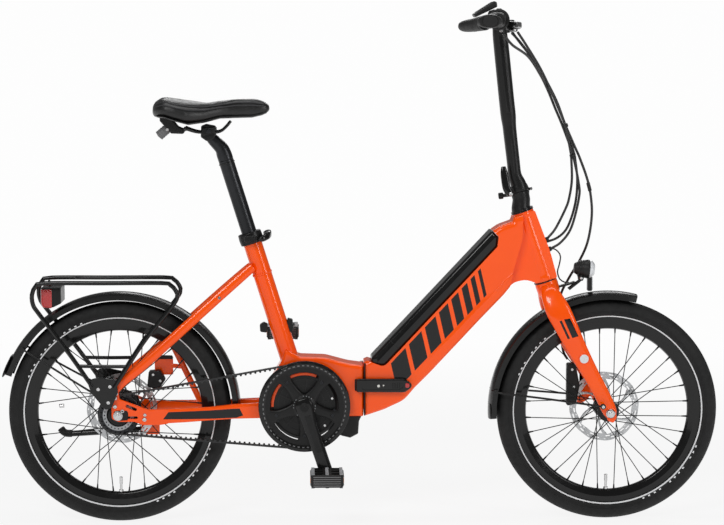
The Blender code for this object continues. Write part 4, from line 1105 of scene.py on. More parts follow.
# ---------------------------------------------------------------- belt drive
BELT_PITCH = 11.0
FRONT_TEETH, REAR_TEETH = 55, 24
BELT_Y0, BELT_Y1 = -56.0, -46.0
FRONT_PITCH_RADIUS = FRONT_TEETH * BELT_PITCH / math.tau
REAR_PITCH_RADIUS = REAR_TEETH * BELT_PITCH / math.tau


def belt():
    """The toothed belt: its line is two arcs and two straight runs, and its teeth point inward."""
    span = (CRANK_CENTRE - REAR_AXLE).length
    tilt = math.atan2(CRANK_CENTRE.z - REAR_AXLE.z, CRANK_CENTRE.x - REAR_AXLE.x)
    lean = math.acos((FRONT_PITCH_RADIUS - REAR_PITCH_RADIUS) / span)
    big, small = FRONT_PITCH_RADIUS, REAR_PITCH_RADIUS
    run = math.sqrt(span**2 - (big - small) ** 2)
    big_arc, small_arc = big * (math.tau - 2 * lean), small * 2 * lean
    total = big_arc + small_arc + 2 * run
    teeth = round(total / BELT_PITCH)

    def at(distance):
        """Point on the pitch line and the direction out of the loop there."""
        d = distance % total
        if d < big_arc:
            angle = tilt - math.pi + lean + d / big
            out = Vector((math.cos(angle), 0, math.sin(angle)))
            return CRANK_CENTRE + out * big, out
        d -= big_arc
        upper = tilt + math.pi - lean
        out = Vector((math.cos(upper), 0, math.sin(upper)))
        if d < run:
            return (CRANK_CENTRE + out * big).lerp(REAR_AXLE + out * small, d / run), out
        d -= run
        if d < small_arc:
            angle = upper + d / small
            out = Vector((math.cos(angle), 0, math.sin(angle)))
            return REAR_AXLE + out * small, out
        d -= small_arc
        lower = tilt - math.pi + lean
        out = Vector((math.cos(lower), 0, math.sin(lower)))
        return (REAR_AXLE + out * small).lerp(CRANK_CENTRE + out * big, d / run), out

    rings = []
    for k in range(teeth):
        for share, depth in ((0.0, 1.1), (0.22, 1.1), (0.30, 3.9), (0.36, 4.4), (0.58, 4.4),
                             (0.64, 3.9), (0.72, 1.1)):
            point, out = at(total * (k + share) / teeth)
            inner, outer = point - out * depth, point + out * 2.2
            rings.append([
                Vector((inner.x, BELT_Y0 + 0.3, inner.z)), Vector((outer.x, BELT_Y0, outer.z)),
                Vector((outer.x, BELT_Y1, outer.z)), Vector((inner.x, BELT_Y1 - 0.3, inner.z))])
    piece("toothed_belt", loft(rings, wrap=True), "belt", "rear_frame", "drive_belt",
          sharp=25)


def toothed_disc(teeth, root, tip, y0, y1, centre, inner):
    """A pulley's ring whose rim has a notch for each belt tooth."""
    rings = []
    for k in range(teeth):
        for share, r in ((0.0, tip), (0.24, tip), (0.32, root), (0.62, root), (0.70, tip)):
            angle = math.tau * (k + share) / teeth
            spoke = Vector((math.cos(angle), 0, math.sin(angle)))
            rings.append([centre + spoke * inner + Vector((0, y0, 0)),
                          centre + spoke * r + Vector((0, y0, 0)),
                          centre + spoke * r + Vector((0, y1, 0)),
                          centre + spoke * inner + Vector((0, y1, 0))])
    return loft(rings, wrap=True)


def rear_sprocket():
    c = REAR_AXLE
    teeth = toothed_disc(REAR_TEETH, REAR_PITCH_RADIUS - 4.8, REAR_PITCH_RADIUS - 1.4, -56, -46, c, 33)
    flange = turned_round([(30, -45.6, 0.4), (REAR_PITCH_RADIUS + 5, -45.6, 0.6),
                           (REAR_PITCH_RADIUS + 5, -43.4, 0.6), (30, -43.4, 0.4)], 72, c)
    piece("sprocket_teeth", join(teeth, flange), "dark_metal", "rear_sprocket",
          "rear_sprocket", sharp=25)
    ring = turned_round([(26, -57.4, 0.8), (34.6, -57.4, 0.8), (34.6, -52, 0.5), (26, -52, 0.5)], 72,
                        c)
    holes = []
    for k in range(24):
        angle = math.tau * k / 24
        at = c + Vector((30.6 * math.cos(angle), -60, 30.6 * math.sin(angle)))
        holes.append(bar([at, at + Vector((0, 12, 0))], 1.7, 12))
    piece("sprocket_ring", cut(ring, join(*holes)), "grey_plastic", "rear_sprocket")
    carrier = turned_round([(12, -57, 1), (21, -57, 2), (26.4, -54, 1), (26.4, -44, 1), (12, -44, 1)],
                           64, c)
    piece("sprocket_carrier", carrier, "black_satin", "rear_sprocket")
    cover = turned_round([(7, -63, 0.6), (15.5, -63, 1.6), (17.5, -57.4, 1), (7, -57.4, 0.5)], 48, c)
    piece("sprocket_lock_ring", cover, "black_gloss", "rear_sprocket")


def front_pulley():
    c = CRANK_CENTRE
    teeth = toothed_disc(FRONT_TEETH, FRONT_PITCH_RADIUS - 4.8, FRONT_PITCH_RADIUS - 1.4, -56, -46.2,
                         c, 86)
    piece("pulley_teeth", teeth, "dark_metal", "crank", "front_pulley", sharp=25)
    guard = turned_round([(86, -58.8, 1.6), (96, -60.4, 3), (102.5, -59, 1.6), (103, -57, 0.8),
                          (90, -56.3, 0.5)], 128, c)
    notches = []
    for k in range(20):
        angle = math.tau * (k + 0.5) / 20
        spoke = Vector((math.cos(angle), 0, math.sin(angle)))
        tangent = Vector((-spoke.z, 0, spoke.x))
        at = c + spoke * 98.4 + Vector((0, -61.4, 0))
        notches.append(bar([at - tangent * 8, at + tangent * 8], 1.9, 12, dome=0.9))
    piece("belt_guard", cut(guard, join(*notches)), "black_gloss", "crank",
          sharp=30)
    arms, windows = [], []
    for k in range(5):
        angle = math.tau * k / 5 - math.pi / 2
        heading = Vector((math.cos(angle), 0, math.sin(angle)))
        side = Vector((-heading.z, 0, heading.x))
        middle = c + Vector((0, -55.4, 0))
        arms.append(flow([(*(middle + heading * 16), 4.2, 17), (*(middle + heading * 34), 4.4, 11.5),
                          (*(middle + heading * 58), 4.0, 10), (*(middle + heading * 74), 3.6, 15),
                          (*(middle + heading * 89), 3.0, 24)], 6, 28, power=0.55))
        windows.append((heading, side))
    rim = turned_round([(76.5, -58.4, 1.5), (89, -58.8, 1.2), (89, -53.5, 1), (76.5, -53.8, 1.2)], 96,
                       c)
    boss = turned_round([(9.6, -63.6, 0.5), (21, -63.6, 1.5), (27, -59.4, 3), (27, -51, 1.5),
                         (9.6, -51, 0.5)], 64, c)
    piece("pulley_spider", join(rim, boss, *arms), "black_satin", "crank", sharp=35)
    heads = [bolt(c + heading * 66 + Vector((0, -59.4, 0)), 4.3, 1.6, (0, -1, 0))
             for heading, _ in windows]
    heads += [bolt(c + heading * 66 + side * 13 + Vector((0, -57.6, 0)), 2.6, 1.2, (0, -1, 0))
              for heading, side in windows]
    piece("spider_bolts", join(*heads), "dark_metal", "crank")
    dashes = []
    for k in range(FRONT_TEETH):
        angle = math.tau * k / FRONT_TEETH
        spoke = Vector((math.cos(angle), 0, math.sin(angle)))
        tangent = Vector((-spoke.z, 0, spoke.x))
        at = c + spoke * 92.6 + Vector((0, -59.5, 0))
        dashes.append(bar([at - tangent * 2.6, at + tangent * 2.6], (0.7, 1.5), 10, dome=0.3))
    piece("guard_dashes", join(*dashes), "grey_rubber", "crank")
    ticks = []
    for k in range(24):
        if k % 6 > 3:
            continue
        angle = math.tau * k / 24 + math.radians(50)
        spoke = Vector((math.cos(angle), 0, math.sin(angle)))
        tangent = Vector((-spoke.z, 0, spoke.x))
        at = c + spoke * 24.2 + Vector((0, -61.9, 0))
        ticks.append(bar([at - tangent * 1.4, at + tangent * 1.4], (0.5, 0.7), 8, dome=0.2))
    piece("spider_marks", join(*ticks), "grey_plastic", "crank")


# ---------------------------------------------------------------- motor, cranks and pedals
def motor():
    c = CRANK_CENTRE
    drum = turned_round([(10.7, -44, 0.5), (70, -44, 4), (77.5, -38, 3), (79, -30, 2), (79, 46, 3),
                         (72, 54, 4), (52, 55.5, 3), (48, 52.5, 2), (10.7, 52.5, 0.5)], 96, c)
    rib_rings = [turned([(r, -45.2), (r + 2.4, -45.2), (r + 2.4, -43.4), (r, -43.4)], 80, c)
                 for r in (58, 44, 31)]
    belly = slab([(452, 250, 4), (546, 246, 3), (538, 230, 5), (536, 201, 4), (518, 191.5, 4),
                  (500, 196, 5), (462, 210, 4)], -34, 40, edge=6)
    piece("motor_housing", union(drum, belly), "black_satin", "rear_frame",
          "motor_casing", sharp=32)
    webs = []
    for k in range(10):
        angle = math.tau * k / 10 + 0.2
        heading = Vector((math.cos(angle), 0, math.sin(angle)))
        webs.append(bar([c + heading * 32 + Vector((0, -44.4, 0)),
                         c + heading * 58 + Vector((0, -44.4, 0))], (0.9, 1.6), 10, power=0.6, dome=0.4))
    piece("motor_cover_ribs", join(*rib_rings, *webs), "black_plastic", "rear_frame")
    heads = [bolt(c + Vector((74 * math.cos(a), 52.6, 74 * math.sin(a))), 4, 2.4)
             for a in (0.4, 1.5, 2.5, 3.7, 4.9, 5.8)]
    heads += [bolt(c + Vector((64 * math.cos(a), -44, 64 * math.sin(a))), 3, 1.4, (0, -1, 0))
              for a in (0.25, 5.5)]
    piece("motor_bolts", join(*heads), "bolt", "rear_frame")
    mounts = []
    for start, stop in ((68, 118), (134, 186)):
        arc = [c + Vector((72 * math.cos(math.radians(a)), -45, 72 * math.sin(math.radians(a))))
               for a in range(start, stop, 4)]
        mounts.append(bar(arc, (1.2, 3.2), 16, power=0.6, dome=0.6))
    piece("motor_mount_edges", join(*mounts), "orange", "rear_frame")


def crank_end(side):
    reach = 155 * (1 if side == RIGHT else -1)
    return CRANK_CENTRE + Vector((reach * math.sin(CRANK_ANGLE), 0, -reach * math.cos(CRANK_ANGLE)))


CRANK_ANGLE = math.radians(18.5)


def cranks():
    for side, name in ((RIGHT, "right"), (LEFT, "left")):
        end = crank_end(side)
        down = (end - CRANK_CENTRE).normalized()

        def at(along, y):
            return (*(CRANK_CENTRE + down * along + Vector((0, y * side, 0))),)
        arm = flow([(*at(-19, 67), 4.6, 11), (*at(-10, 67), 6.2, 17.5), (*at(0, 67), 6.8, 19.5),
                    (*at(30, 68.5), 6.4, 17), (*at(75, 71.5), 6.2, 15.5), (*at(120, 75), 6, 15),
                    (*at(150, 77), 6.2, 15), (*at(162, 77.5), 5.6, 12.5), (*at(170, 77.5), 4, 7)],
                   5, 32, power=0.5, dome=1)
        piece(f"{name}_arm", arm, "black_gloss", "crank", f"{name}_crank_arm")
        out = Vector((0, side, 0))
        cap = CRANK_CENTRE + Vector((0, 73.4 * side, 0))
        cover = [bar([cap, cap + out * 1.8], 10.5, 32, dome=0.8),
                 bolt(cap + out * 1.8, 6, 0.9, tuple(out))]
        piece(f"{name}_arm_cap", join(*cover), "black_satin", "crank")
        shaft = end + Vector((0, 84.4 * side, 0))
        axle = [bar([shaft, end + Vector((0, 160 * side, 0))], 4.5, 20),
                bar([shaft - out * 1.6, shaft + out * 1.4], 7.5, 6, dome=0.4)]
        piece(f"{name}_pedal_axle", join(*axle), "bolt", "crank")
        panel = flow([(*at(20, 75.3), 0.5, 7), (*at(60, 77.7), 0.5, 7.4), (*at(105, 80.6), 0.5, 6.8)], 5,
                     20, power=0.5)
        piece(f"{name}_arm_inlay", panel, "black_plastic", "crank")


def pedals():
    """Each pedal: a core on its axle, a notched cage round it, ribs and end reflectors."""
    for side, name in ((RIGHT, "right"), (LEFT, "left")):
        c = crank_end(side)
        body = f"{name}_pedal"
        y0, y1 = sorted((88 * side, 176 * side))
        frame_outer = slab([(c.x - 36, c.z - 14.5, 6), (c.x + 36, c.z - 14.5, 6),
                            (c.x + 36, c.z + 14.5, 6), (c.x - 36, c.z + 14.5, 6)], y0, y1, edge=4)
        pockets = []
        for lift in (-1, 1):
            for x in (-19.5, 19.5):
                for share in range(3):
                    mid = y0 + 15 + 29 * share
                    pockets.append(box((c.x + x - 10, mid - 10.5, c.z + (4.6 if lift > 0 else -30)),
                                       (c.x + x + 10, mid + 10.5, c.z + (30 if lift > 0 else -4.6)),
                                       2))
        bore = bar([c + Vector((0, 80 * side, 0)), c + Vector((0, 163 * side, 0))], 5, 24)
        block = cut(cut(frame_outer, *pockets), bore)
        piece(f"{name}_pedal_body", block, "black_plastic", body, body, sharp=32)
        ribs = []
        face = 88 * side
        far = 176 * side
        for y, out in ((face, -side), (far, side)):
            for row in range(5):
                z = c.z - 9.6 + 4.8 * row
                ribs.append(box((c.x - 30, min(y - 0.4 * out, y + 0.9 * out), z - 1),
                                (c.x + 30, max(y - 0.4 * out, y + 0.9 * out), z + 1), 0.4))
        for x, out in ((c.x - 36, -1), (c.x + 36, 1)):
            for row in (-1, 1):
                low, high = sorted((x - 0.4 * out, x + 1.1 * out))
                ribs.append(box((low, y0 + 8, c.z + 9 * row - 1.1), (high, y1 - 8, c.z + 9 * row + 1.1),
                                0.4))
        piece(f"{name}_pedal_ribs", join(*ribs), "grey_rubber", body)
        pads = []
        for lift in (-1, 1):
            z = c.z + 14.3 * lift
            low, high = sorted((z, z + 1.1 * lift))
            for x in (-31, 0, 31):
                half = 3.6
                for share in range(11):
                    y = y0 + 5 + 7.8 * share
                    pads.append(box((c.x + x - half, y - 2.9, low), (c.x + x + half, y + 2.9, high),
                                    0.45))
        piece(f"{name}_pedal_treads", join(*pads), "grey_plastic", body)
        amber = []
        for x, out in ((c.x - 36, -1), (c.x + 36, 1)):
            low, high = sorted((x - 0.5 * out, x + 1.3 * out))
            amber.append(box((low, y0 + 17, c.z - 6.2), (high, y1 - 17, c.z + 6.2), 0.8))
        piece(f"{name}_pedal_reflectors", join(*amber), "amber", body)


# ---------------------------------------------------------------- rear fittings
def kickstand():
    leg = bar(catmull([(68, 80, 195), (52, 80, 195), (10, 84, 192), (-70, 86, 187), (-124, 88, 184),
                       (-137, 88, 187), (-144, 88, 196)], 6), [6.4] * 8 + [6.8] * 22 + [7.6] * 7, 24,
              dome=2)
    pivot = bar([(66, 72, 196), (66, 90, 196)], 9.5, 32, dome=1.2)
    piece("stand_leg", join(leg, pivot), "black_gloss", "kickstand",
          "kickstand_leg")
    foot = bar(catmull([(-118, 88, 184.4), (-131, 88, 184.8), (-139, 88, 189), (-145, 88, 197)], 4),
               8.4, 20, dome=2.5)
    piece("stand_foot", foot, "rubber", "kickstand")
    piece("stand_bolt", bolt((66, 90.6, 196), 5, 2.6), "bolt", "kickstand")


def brake_caliper(name, node, body, corners, y_rotor, y0, y1, bolts):
    block = slab(corners, y0, y1, edge=3.2)
    xs, zs = [p[0] for p in corners], [p[1] for p in corners]
    slot = box((min(xs) - 5, y_rotor - 3, min(zs) - 5), (max(xs) + 5, y_rotor + 3, max(zs) - 12), 0.4)
    piece(name, cut(block, slot), "black_satin", body, node, sharp=30)
    heads = [bolt((x, y1, z), 4, 2.2) for x, z in bolts] + [bolt((x, y0, z), 3.2, 1.4, (0, -1, 0))
                                                             for x, z in bolts]
    piece(name + "_bolts", join(*heads), "bolt", body)


def calipers():
    brake_caliper("rear_brake_caliper", "rear_caliper", "rear_frame",
                  [(58, 300, 4), (84, 292, 4), (100, 316, 5), (88, 338, 5), (62, 336, 5)], 42, 32, 56,
                  ((72, 328), (88, 314)))
    brake_caliper("front_brake_caliper", "front_caliper", "steering",
                  [(1014, 252, 4), (1036, 256, 4), (1044, 300, 6), (1034, 350, 6), (1014, 350, 5)],
                  38.5, 30, 52, ((1026, 336), (1030, 296)))


def rack():
    for side, name in ((RIGHT, "right"), (LEFT, "left")):
        y, foot = 62 * side, 76 * side
        path = route([(-8, foot, 314), (58, 70 * side, 415), (112, y, 482), (133, y, 512),
                      (131, y, 529), (118, y, 543), (98, y, 547), (-30, y, 547), (-158, y, 547),
                      (-178, y, 541), (-187, y, 522), (-185, y, 499), (-171, y, 477),
                      (-105, 68 * side, 389), (-54, foot, 316)], 9)
        loop = bar(path, 5, 20, dome=1)
        low, high = sorted((74 * side, 78 * side))
        plate = slab([(-64, 322, 6), (-56, 335, 6), (-40, 339, 6), (-2, 331, 5), (2, 306, 6),
                      (-13, 269, 5), (-27, 266, 5), (-58, 304, 6)], low, high, edge=1)
        brace = bar(route([(-87, 71 * side, 363), (-32, 71 * side, 362), (24, 73 * side, 362)], 8),
                    (2.6, 4), 14, dome=0.6)
        piece(f"rack_{name}_loop", union(loop, plate, brace), "black_gloss", "rear_frame",
              f"rack_{name}_side", sharp=30)
        heads = [bolt((x, 78 * side, z), 4, 2, (0, side, 0)) for x, z in ((-16, 318), (-42, 312),
                                                                         (-20, 282))]
        piece(f"rack_{name}_bolts", join(*heads), "bolt", "rear_frame")
    rails = [bar(route([(-164, y, 546.4), (-150, y, 549.4), (-30, y, 549.4), (92, y, 549.4),
                        (103, y, 547)], 8), (8.6, 2.9), 20, power=0.45, dome=1) for y in (-26, 26)]
    centre = bar(route([(-158, 0, 547.6), (-30, 0, 549.6), (98, 0, 547.6)], 14), (4, 2.4), 16,
                 power=0.5, dome=0.8)
    cross = [bar([(x, -57.4, 547), (x, 57.4, 547)], 4, 20) for x in (100, 12, -76, -158)]
    piece("rack_platform", union(*rails, centre, *cross), "black_satin", "rear_frame",
          "rack_deck", sharp=30)
    straps = [bar(route([(-100, y, 553), (-30, y, 554.4), (60, y, 553.6)], 12), (3, 1), 12, power=0.5,
                  dome=0.6) for y in (-26, 26)]
    piece("rack_deck_pads", join(*straps), "rubber", "rear_frame")


def tail_light():
    lens = slab([(-133, 531, 3), (-133, 496, 3), (-150, 488, 4), (-167, 490, 4), (-171, 500, 4),
                 (-171, 531, 3)], -40, 40, edge=5)
    piece("tail_lamp_lens", lens, "red_lens", "rear_frame", "tail_light", sharp=30)
    housing = slab([(-126, 533, 2), (-126, 499, 4), (-147, 489, 3), (-147, 533, 2)], -41, 41, edge=3)
    piece("tail_lamp_housing", housing, "black_satin", "rear_frame")
    top = slab([(-126, 535, 1), (-170, 535, 3), (-170, 531.4, 1), (-126, 531.4, 1)], -38, 38,
               edge=1.2)
    piece("tail_lamp_bracket", top, "black_satin", "rear_frame")
    hangers = [bar(route([(-150, 14 * s, 534), (-156, 14 * s, 541), (-158, 14 * s, 547)], 4), 2.4, 12)
               for s in (RIGHT, LEFT)]
    piece("tail_lamp_hangers", join(*hangers), "black_satin", "rear_frame")


def guard_mesh(axle, outer, start, stop, steps, taper):
    rings = []
    for k in range(steps + 1):
        share = k / steps
        angle = math.radians(start + (stop - start) * share)
        spoke = Vector((math.cos(angle), 0, math.sin(angle)))
        end = min(share, 1 - share) * steps
        half = 28 - (taper * (1 - end / 2) ** 2 if end < 2 else 0)
        ring = [(outer - 17.5, -half - 0.6)]
        for j in range(15):
            y = -half + 2 * half * j / 14
            ring.append((outer - 6.2 * (abs(y) / 28) ** 2.6, y))
        ring += [(outer - 17.5, half + 0.6), (outer - 17.5, half - 1.2)]
        for j in range(14, -1, -1):
            y = (-half + 2 * half * j / 14) * 0.94
            ring.append((outer - 2.2 - 6.2 * (abs(y) / 28) ** 2.6, y))
        ring.append((outer - 17.5, 1.2 - half))
        rings.append([axle + spoke * r + Vector((0, y, 0)) for r, y in ring])
    return loft(rings)


def mudguards():
    shells = {"rear": guard_mesh(REAR_AXLE, 272, 3, 161, 90, 5),
              "front": guard_mesh(FRONT_AXLE, 270, 76, 184, 64, 5)}
    routes = {"rear": [(-223, 20, 400), (-214, 29, 395), (-200, 36, 388), (-110, 54, 334),
                       (-30, 70, 287)],
              "front": [(838, 20, 296.5), (846, 29, 295), (862, 36, 292), (960, 55, 282),
                        (1082, 79, 268)]}
    bodies = {"rear": "rear_frame", "front": "steering"}
    for end in ("rear", "front"):
        piece(f"{end}_guard", shells[end], "guard_plastic", bodies[end],
              f"{end}_mudguard", sharp=40)
        stays, clips, heads = [], [], []
        for s in (RIGHT, LEFT):
            path = route([(x, y * s, z) for x, y, z in routes[end]], 8)
            stays.append(bar(path, 2.4, 14, dome=0.6))
            x, y, z = routes[end][1]
            clips.append(bar([(x, (y - 5) * s, z), (x, (y + 6) * s, z)], (5.2, 5.2), 20, dome=1.2))
            x, y, z = routes[end][-1]
            clips.append(bar([(x, (y - 4) * s, z), (x, (y + 3.4) * s, z)], 6.2, 24, dome=0.8))
            heads.append(bolt((x, (y + 3.4) * s, z), 3.6, 2, (0, s, 0)))
        piece(f"{end}_guard_stays", join(*stays), "black_satin", bodies[end])
        piece(f"{end}_guard_clips", join(*clips), "black_plastic", bodies[end])
        piece(f"{end}_guard_bolts", join(*heads), "bolt", bodies[end])
    flap = flow([(-241.4, 0, 378, 23, 1.6), (-251.6, 0, 357, 26, 1.8), (-258.4, 0, 340, 26, 1.8),
                 (-261, 0, 332, 22, 1.6)], 4, 24, power=0.5, dome=0.6)
    piece("rear_mud_flap", flap, "rubber", "rear_frame")
    front = flow([(834.4, 0, 266, 24, 2), (834.6, 0, 250, 27, 1.8), (836, 0, 234, 25, 1.6)], 4, 24,
                 power=0.5, dome=0.6)
    piece("front_mud_flap", front, "rubber", "steering")


# ---------------------------------------------------------------- seat post and saddle
SADDLE_STATIONS = [  # x, half width, top, bottom
    (80.5, 30, 936, 918), (84, 50, 944, 914), (94, 67, 952, 912), (108, 77, 957, 911),
    (130, 81, 952.6, 904), (160, 75, 948, 896), (195, 57, 944, 901), (230, 38, 948, 910),
    (265, 27, 954, 911), (300, 23, 954, 912), (322, 19, 949, 917), (333, 14, 943, 922), (340, 7, 936, 928),
]


def seat_post():
    post = bar([seat_point(-115 + 12 * k) for k in range(24)] + [seat_point(170), seat_point(182)], 17,
               48)
    neck = flow([(*seat_point(182), 17, 17), (*seat_point(196), 17, 17),
                 (*(seat_point(210) + Vector((-2, 0, 1))), 16.4, 15.4), (213, 0, 862, 15, 13.4),
                 (208, 0, 870, 14, 12)], 5, 40, dome=2)
    piece("seat_tube_post", union(post, neck), "dark_metal", "seat", "seat_post")
    ring = turned_round([(16.9, -1.4, 0.3), (18.4, -1.2, 0.6), (18.4, 1.2, 0.6), (16.9, 1.4, 0.3)], 48,
                        seat_point(176), tuple(SEAT_AXIS))
    piece("seat_post_ring", ring, "black_gloss", "seat")


def saddle_rails():
    rails = [bar(route([(252, 11 * s, 903), (243, 16 * s, 892), (229, 21 * s, 881), (206, 23 * s, 879),
                        (182, 23 * s, 879.4), (166, 28 * s, 883), (150, 34 * s, 889)], 6), 3.5, 20,
                 dome=1) for s in (RIGHT, LEFT)]
    piece("saddle_wire_rails", join(*rails), "black_gloss", "seat", "saddle_rails")
    lower = slab([(189, 887, 3), (186, 877, 3), (193, 871, 3), (217, 877, 3), (221, 887, 3),
                  (219, 890, 2), (190, 890, 2)], -27, 27, edge=2.4)
    yoke = slab([(186, 868, 5), (187, 893, 4), (197, 897, 3), (218, 893, 4), (222, 880, 5),
                 (215, 862, 6), (199, 859, 6)], -19, 19, edge=3)
    piece("rail_clamp", union(lower, yoke), "black_satin", "seat")
    heads = [bar([(204, -30.4, 881), (204, 30.4, 881)], 4, 24, dome=1),
             bolt((204, -27, 881), 6, 3, (0, -1, 0)), bolt((204, 27, 881), 6, 3)]
    piece("rail_clamp_bolts", join(*heads), "dark_metal", "seat")


def pad_rings():
    """The pad's cross sections: a rounded top with a shallow groove, over a flatter underside."""
    rows = catmull([(x, half, top, bottom, 0) for x, half, top, bottom in SADDLE_STATIONS], 4)
    rings = []
    for row in rows:
        x, half, top, bottom = row[0], row[1], row[2], row[3]
        middle, high = bottom + 0.36 * (top - bottom), 0.64 * (top - bottom)
        low = middle - bottom
        ring = []
        for k in range(40):
            turn = math.tau * (k + 0.5) / 40
            c, s = squared(turn, 0.78)
            y = half * c
            groove = 2.6 * math.exp(-((y / 11.0) ** 2)) if s > 0 and 110 < x < 300 else 0.0
            z = middle + (high if s > 0 else low) * s - groove
            ring.append(Vector((x, y, z)))
        rings.append(ring)
    return rings


def saddle():
    """The pad is a closed cushion: its skin is inflated a little by cloth simulation."""
    bm = loft(pad_rings())
    pad = piece("saddle_pad", bm, "vinyl", None, sharp=180)
    remesh = pad.modifiers.new("grid", "REMESH")
    remesh.mode = "VOXEL"
    remesh.voxel_size = 0.0048
    remesh.adaptivity = 0
    bake(pad)
    rest = [v.co.copy() for v in pad.data.vertices]
    underside = pad.vertex_groups.new(name="base")
    low = min(v.co.z for v in pad.data.vertices)
    span = max(v.co.z for v in pad.data.vertices) - low
    for v in pad.data.vertices:
        share = (v.co.z - low) / span
        underside.add([v.index], max(0.0, min(1.0, 1.25 - 2.2 * share)), "REPLACE")
    cloth = pad.modifiers.new("inflate", "CLOTH")
    cloth.settings.quality = 5
    cloth.settings.mass = 0.2
    cloth.settings.tension_stiffness = cloth.settings.compression_stiffness = 40
    cloth.settings.bending_stiffness = 6
    cloth.settings.use_pressure = True
    cloth.settings.uniform_pressure_force = 4
    cloth.settings.vertex_group_mass = "base"
    cloth.settings.effector_weights.gravity = 0
    cloth.point_cache.frame_start, cloth.point_cache.frame_end = 1, 20
    scene = bpy.context.scene
    for step in range(1, 21):
        scene.frame_set(step)
        bpy.context.view_layer.update()
    puffed = pad.evaluated_get(bpy.context.evaluated_depsgraph_get())
    mesh = puffed.to_mesh()
    moved = [v.co.copy() for v in mesh.vertices]
    puffed.to_mesh_clear()
    pad.modifiers.remove(cloth)
    scene.frame_set(1)
    most = 0.0035
    for v, was, now in zip(pad.data.vertices, rest, moved):
        step = now - was
        v.co = was + (step if step.length < most else step.normalized() * most)
    pad.vertex_groups.remove(underside)
    smooth = pad.modifiers.new("smooth", "LAPLACIANSMOOTH")
    smooth.iterations = 6
    smooth.lambda_factor = 0.35
    bake(pad)
    subdivide = pad.modifiers.new("subdivide", "SUBSURF")
    subdivide.levels = subdivide.render_levels = 1
    bake(pad)
    for polygon in pad.data.polygons:
        polygon.use_smooth = True
    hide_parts("saddle")
    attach(pad, "seat")
    saddle_trim()


def pad_surface(x, turn, lift=0.0):
    """A point of the pad's skin at this x and angle round its cross section, moved outward by lift."""
    rows = SADDLE_STATIONS
    for low, high in zip(rows, rows[1:]):
        if low[0] <= x <= high[0]:
            share = (x - low[0]) / (high[0] - low[0])
            half, top, bottom = (low[i] + (high[i] - low[i]) * share for i in (1, 2, 3))
            break
    c, s = squared(turn, 0.78)
    middle, high_z = bottom + 0.36 * (top - bottom), 0.64 * (top - bottom)
    y, z = half * c, middle + (high_z if s > 0 else middle - bottom) * s
    return Vector((x, y + lift * c, z + lift * s))


def saddle_trim():
    seams = []
    for turn in (0.34, 0.62):
        for side in (RIGHT, LEFT):
            angle = turn if side == LEFT else math.pi - turn
            points = [pad_surface(86 + 4.8 * k, angle, 0.4) for k in range(51)]
            seams.append(bar(points, 1.3, 10, dome=0.6))
    piece("saddle_seams", join(*seams), "thread", "seat")
    rings = []
    for x, half, _, bottom in SADDLE_STATIONS[1:-1]:
        rings.append([Vector((x, half * 0.93 * math.copysign(abs(math.cos(t)) ** 0.7, math.cos(t)),
                              bottom + 3.0 + (5.0 if math.sin(t) > 0 else 4.0) * math.sin(t)))
                      for t in [math.tau * k / 32 for k in range(32)]])
    rings[0] = [p.lerp(Vector((84, 0, 918)), 0.2) for p in rings[0]]
    piece("saddle_base", loft(rings), "black_plastic", "seat")


def tail_bracket():
    bracket = slab([(111, 886, 3), (120, 876, 4), (147, 875, 4), (153, 885, 5), (136, 892, 8),
                    (118, 914, 4), (95, 914, 4), (95, 904, 4)], -16, 16, edge=2.6)
    piece("tail_clip_body", bracket, "black_plastic", "seat", "tail_clip", sharp=32)
    profile = [(0.5, 0, 0.3), (9.4, 0, 2)]
    for k in range(6):
        profile += [(10.2, 3 + 6 * k, 0.8), (11, 4.4 + 6 * k, 0.8), (11, 7.6 + 6 * k, 0.8)]
    stub = turned_round(profile + [(0.5, 40, 0.3)], 40, (121, 0, 895), (-0.76, 0, -0.65))
    piece("tail_clip_stub", stub, "grey_rubber", "seat")
    arms = [bar(route([(146, 12 * s, 882), (152, 24 * s, 886), (156, 31 * s, 886)], 5), (2.4, 4), 14,
                dome=0.8) for s in (RIGHT, LEFT)]
    piece("tail_clip_arms", join(*arms), "black_plastic", "seat")
    piece("tail_clip_screw", join(*[bolt((112, 16 * s, 885), 3.4, 1.8, (0, s, 0))
                                    for s in (RIGHT, LEFT)]), "bolt", "seat")


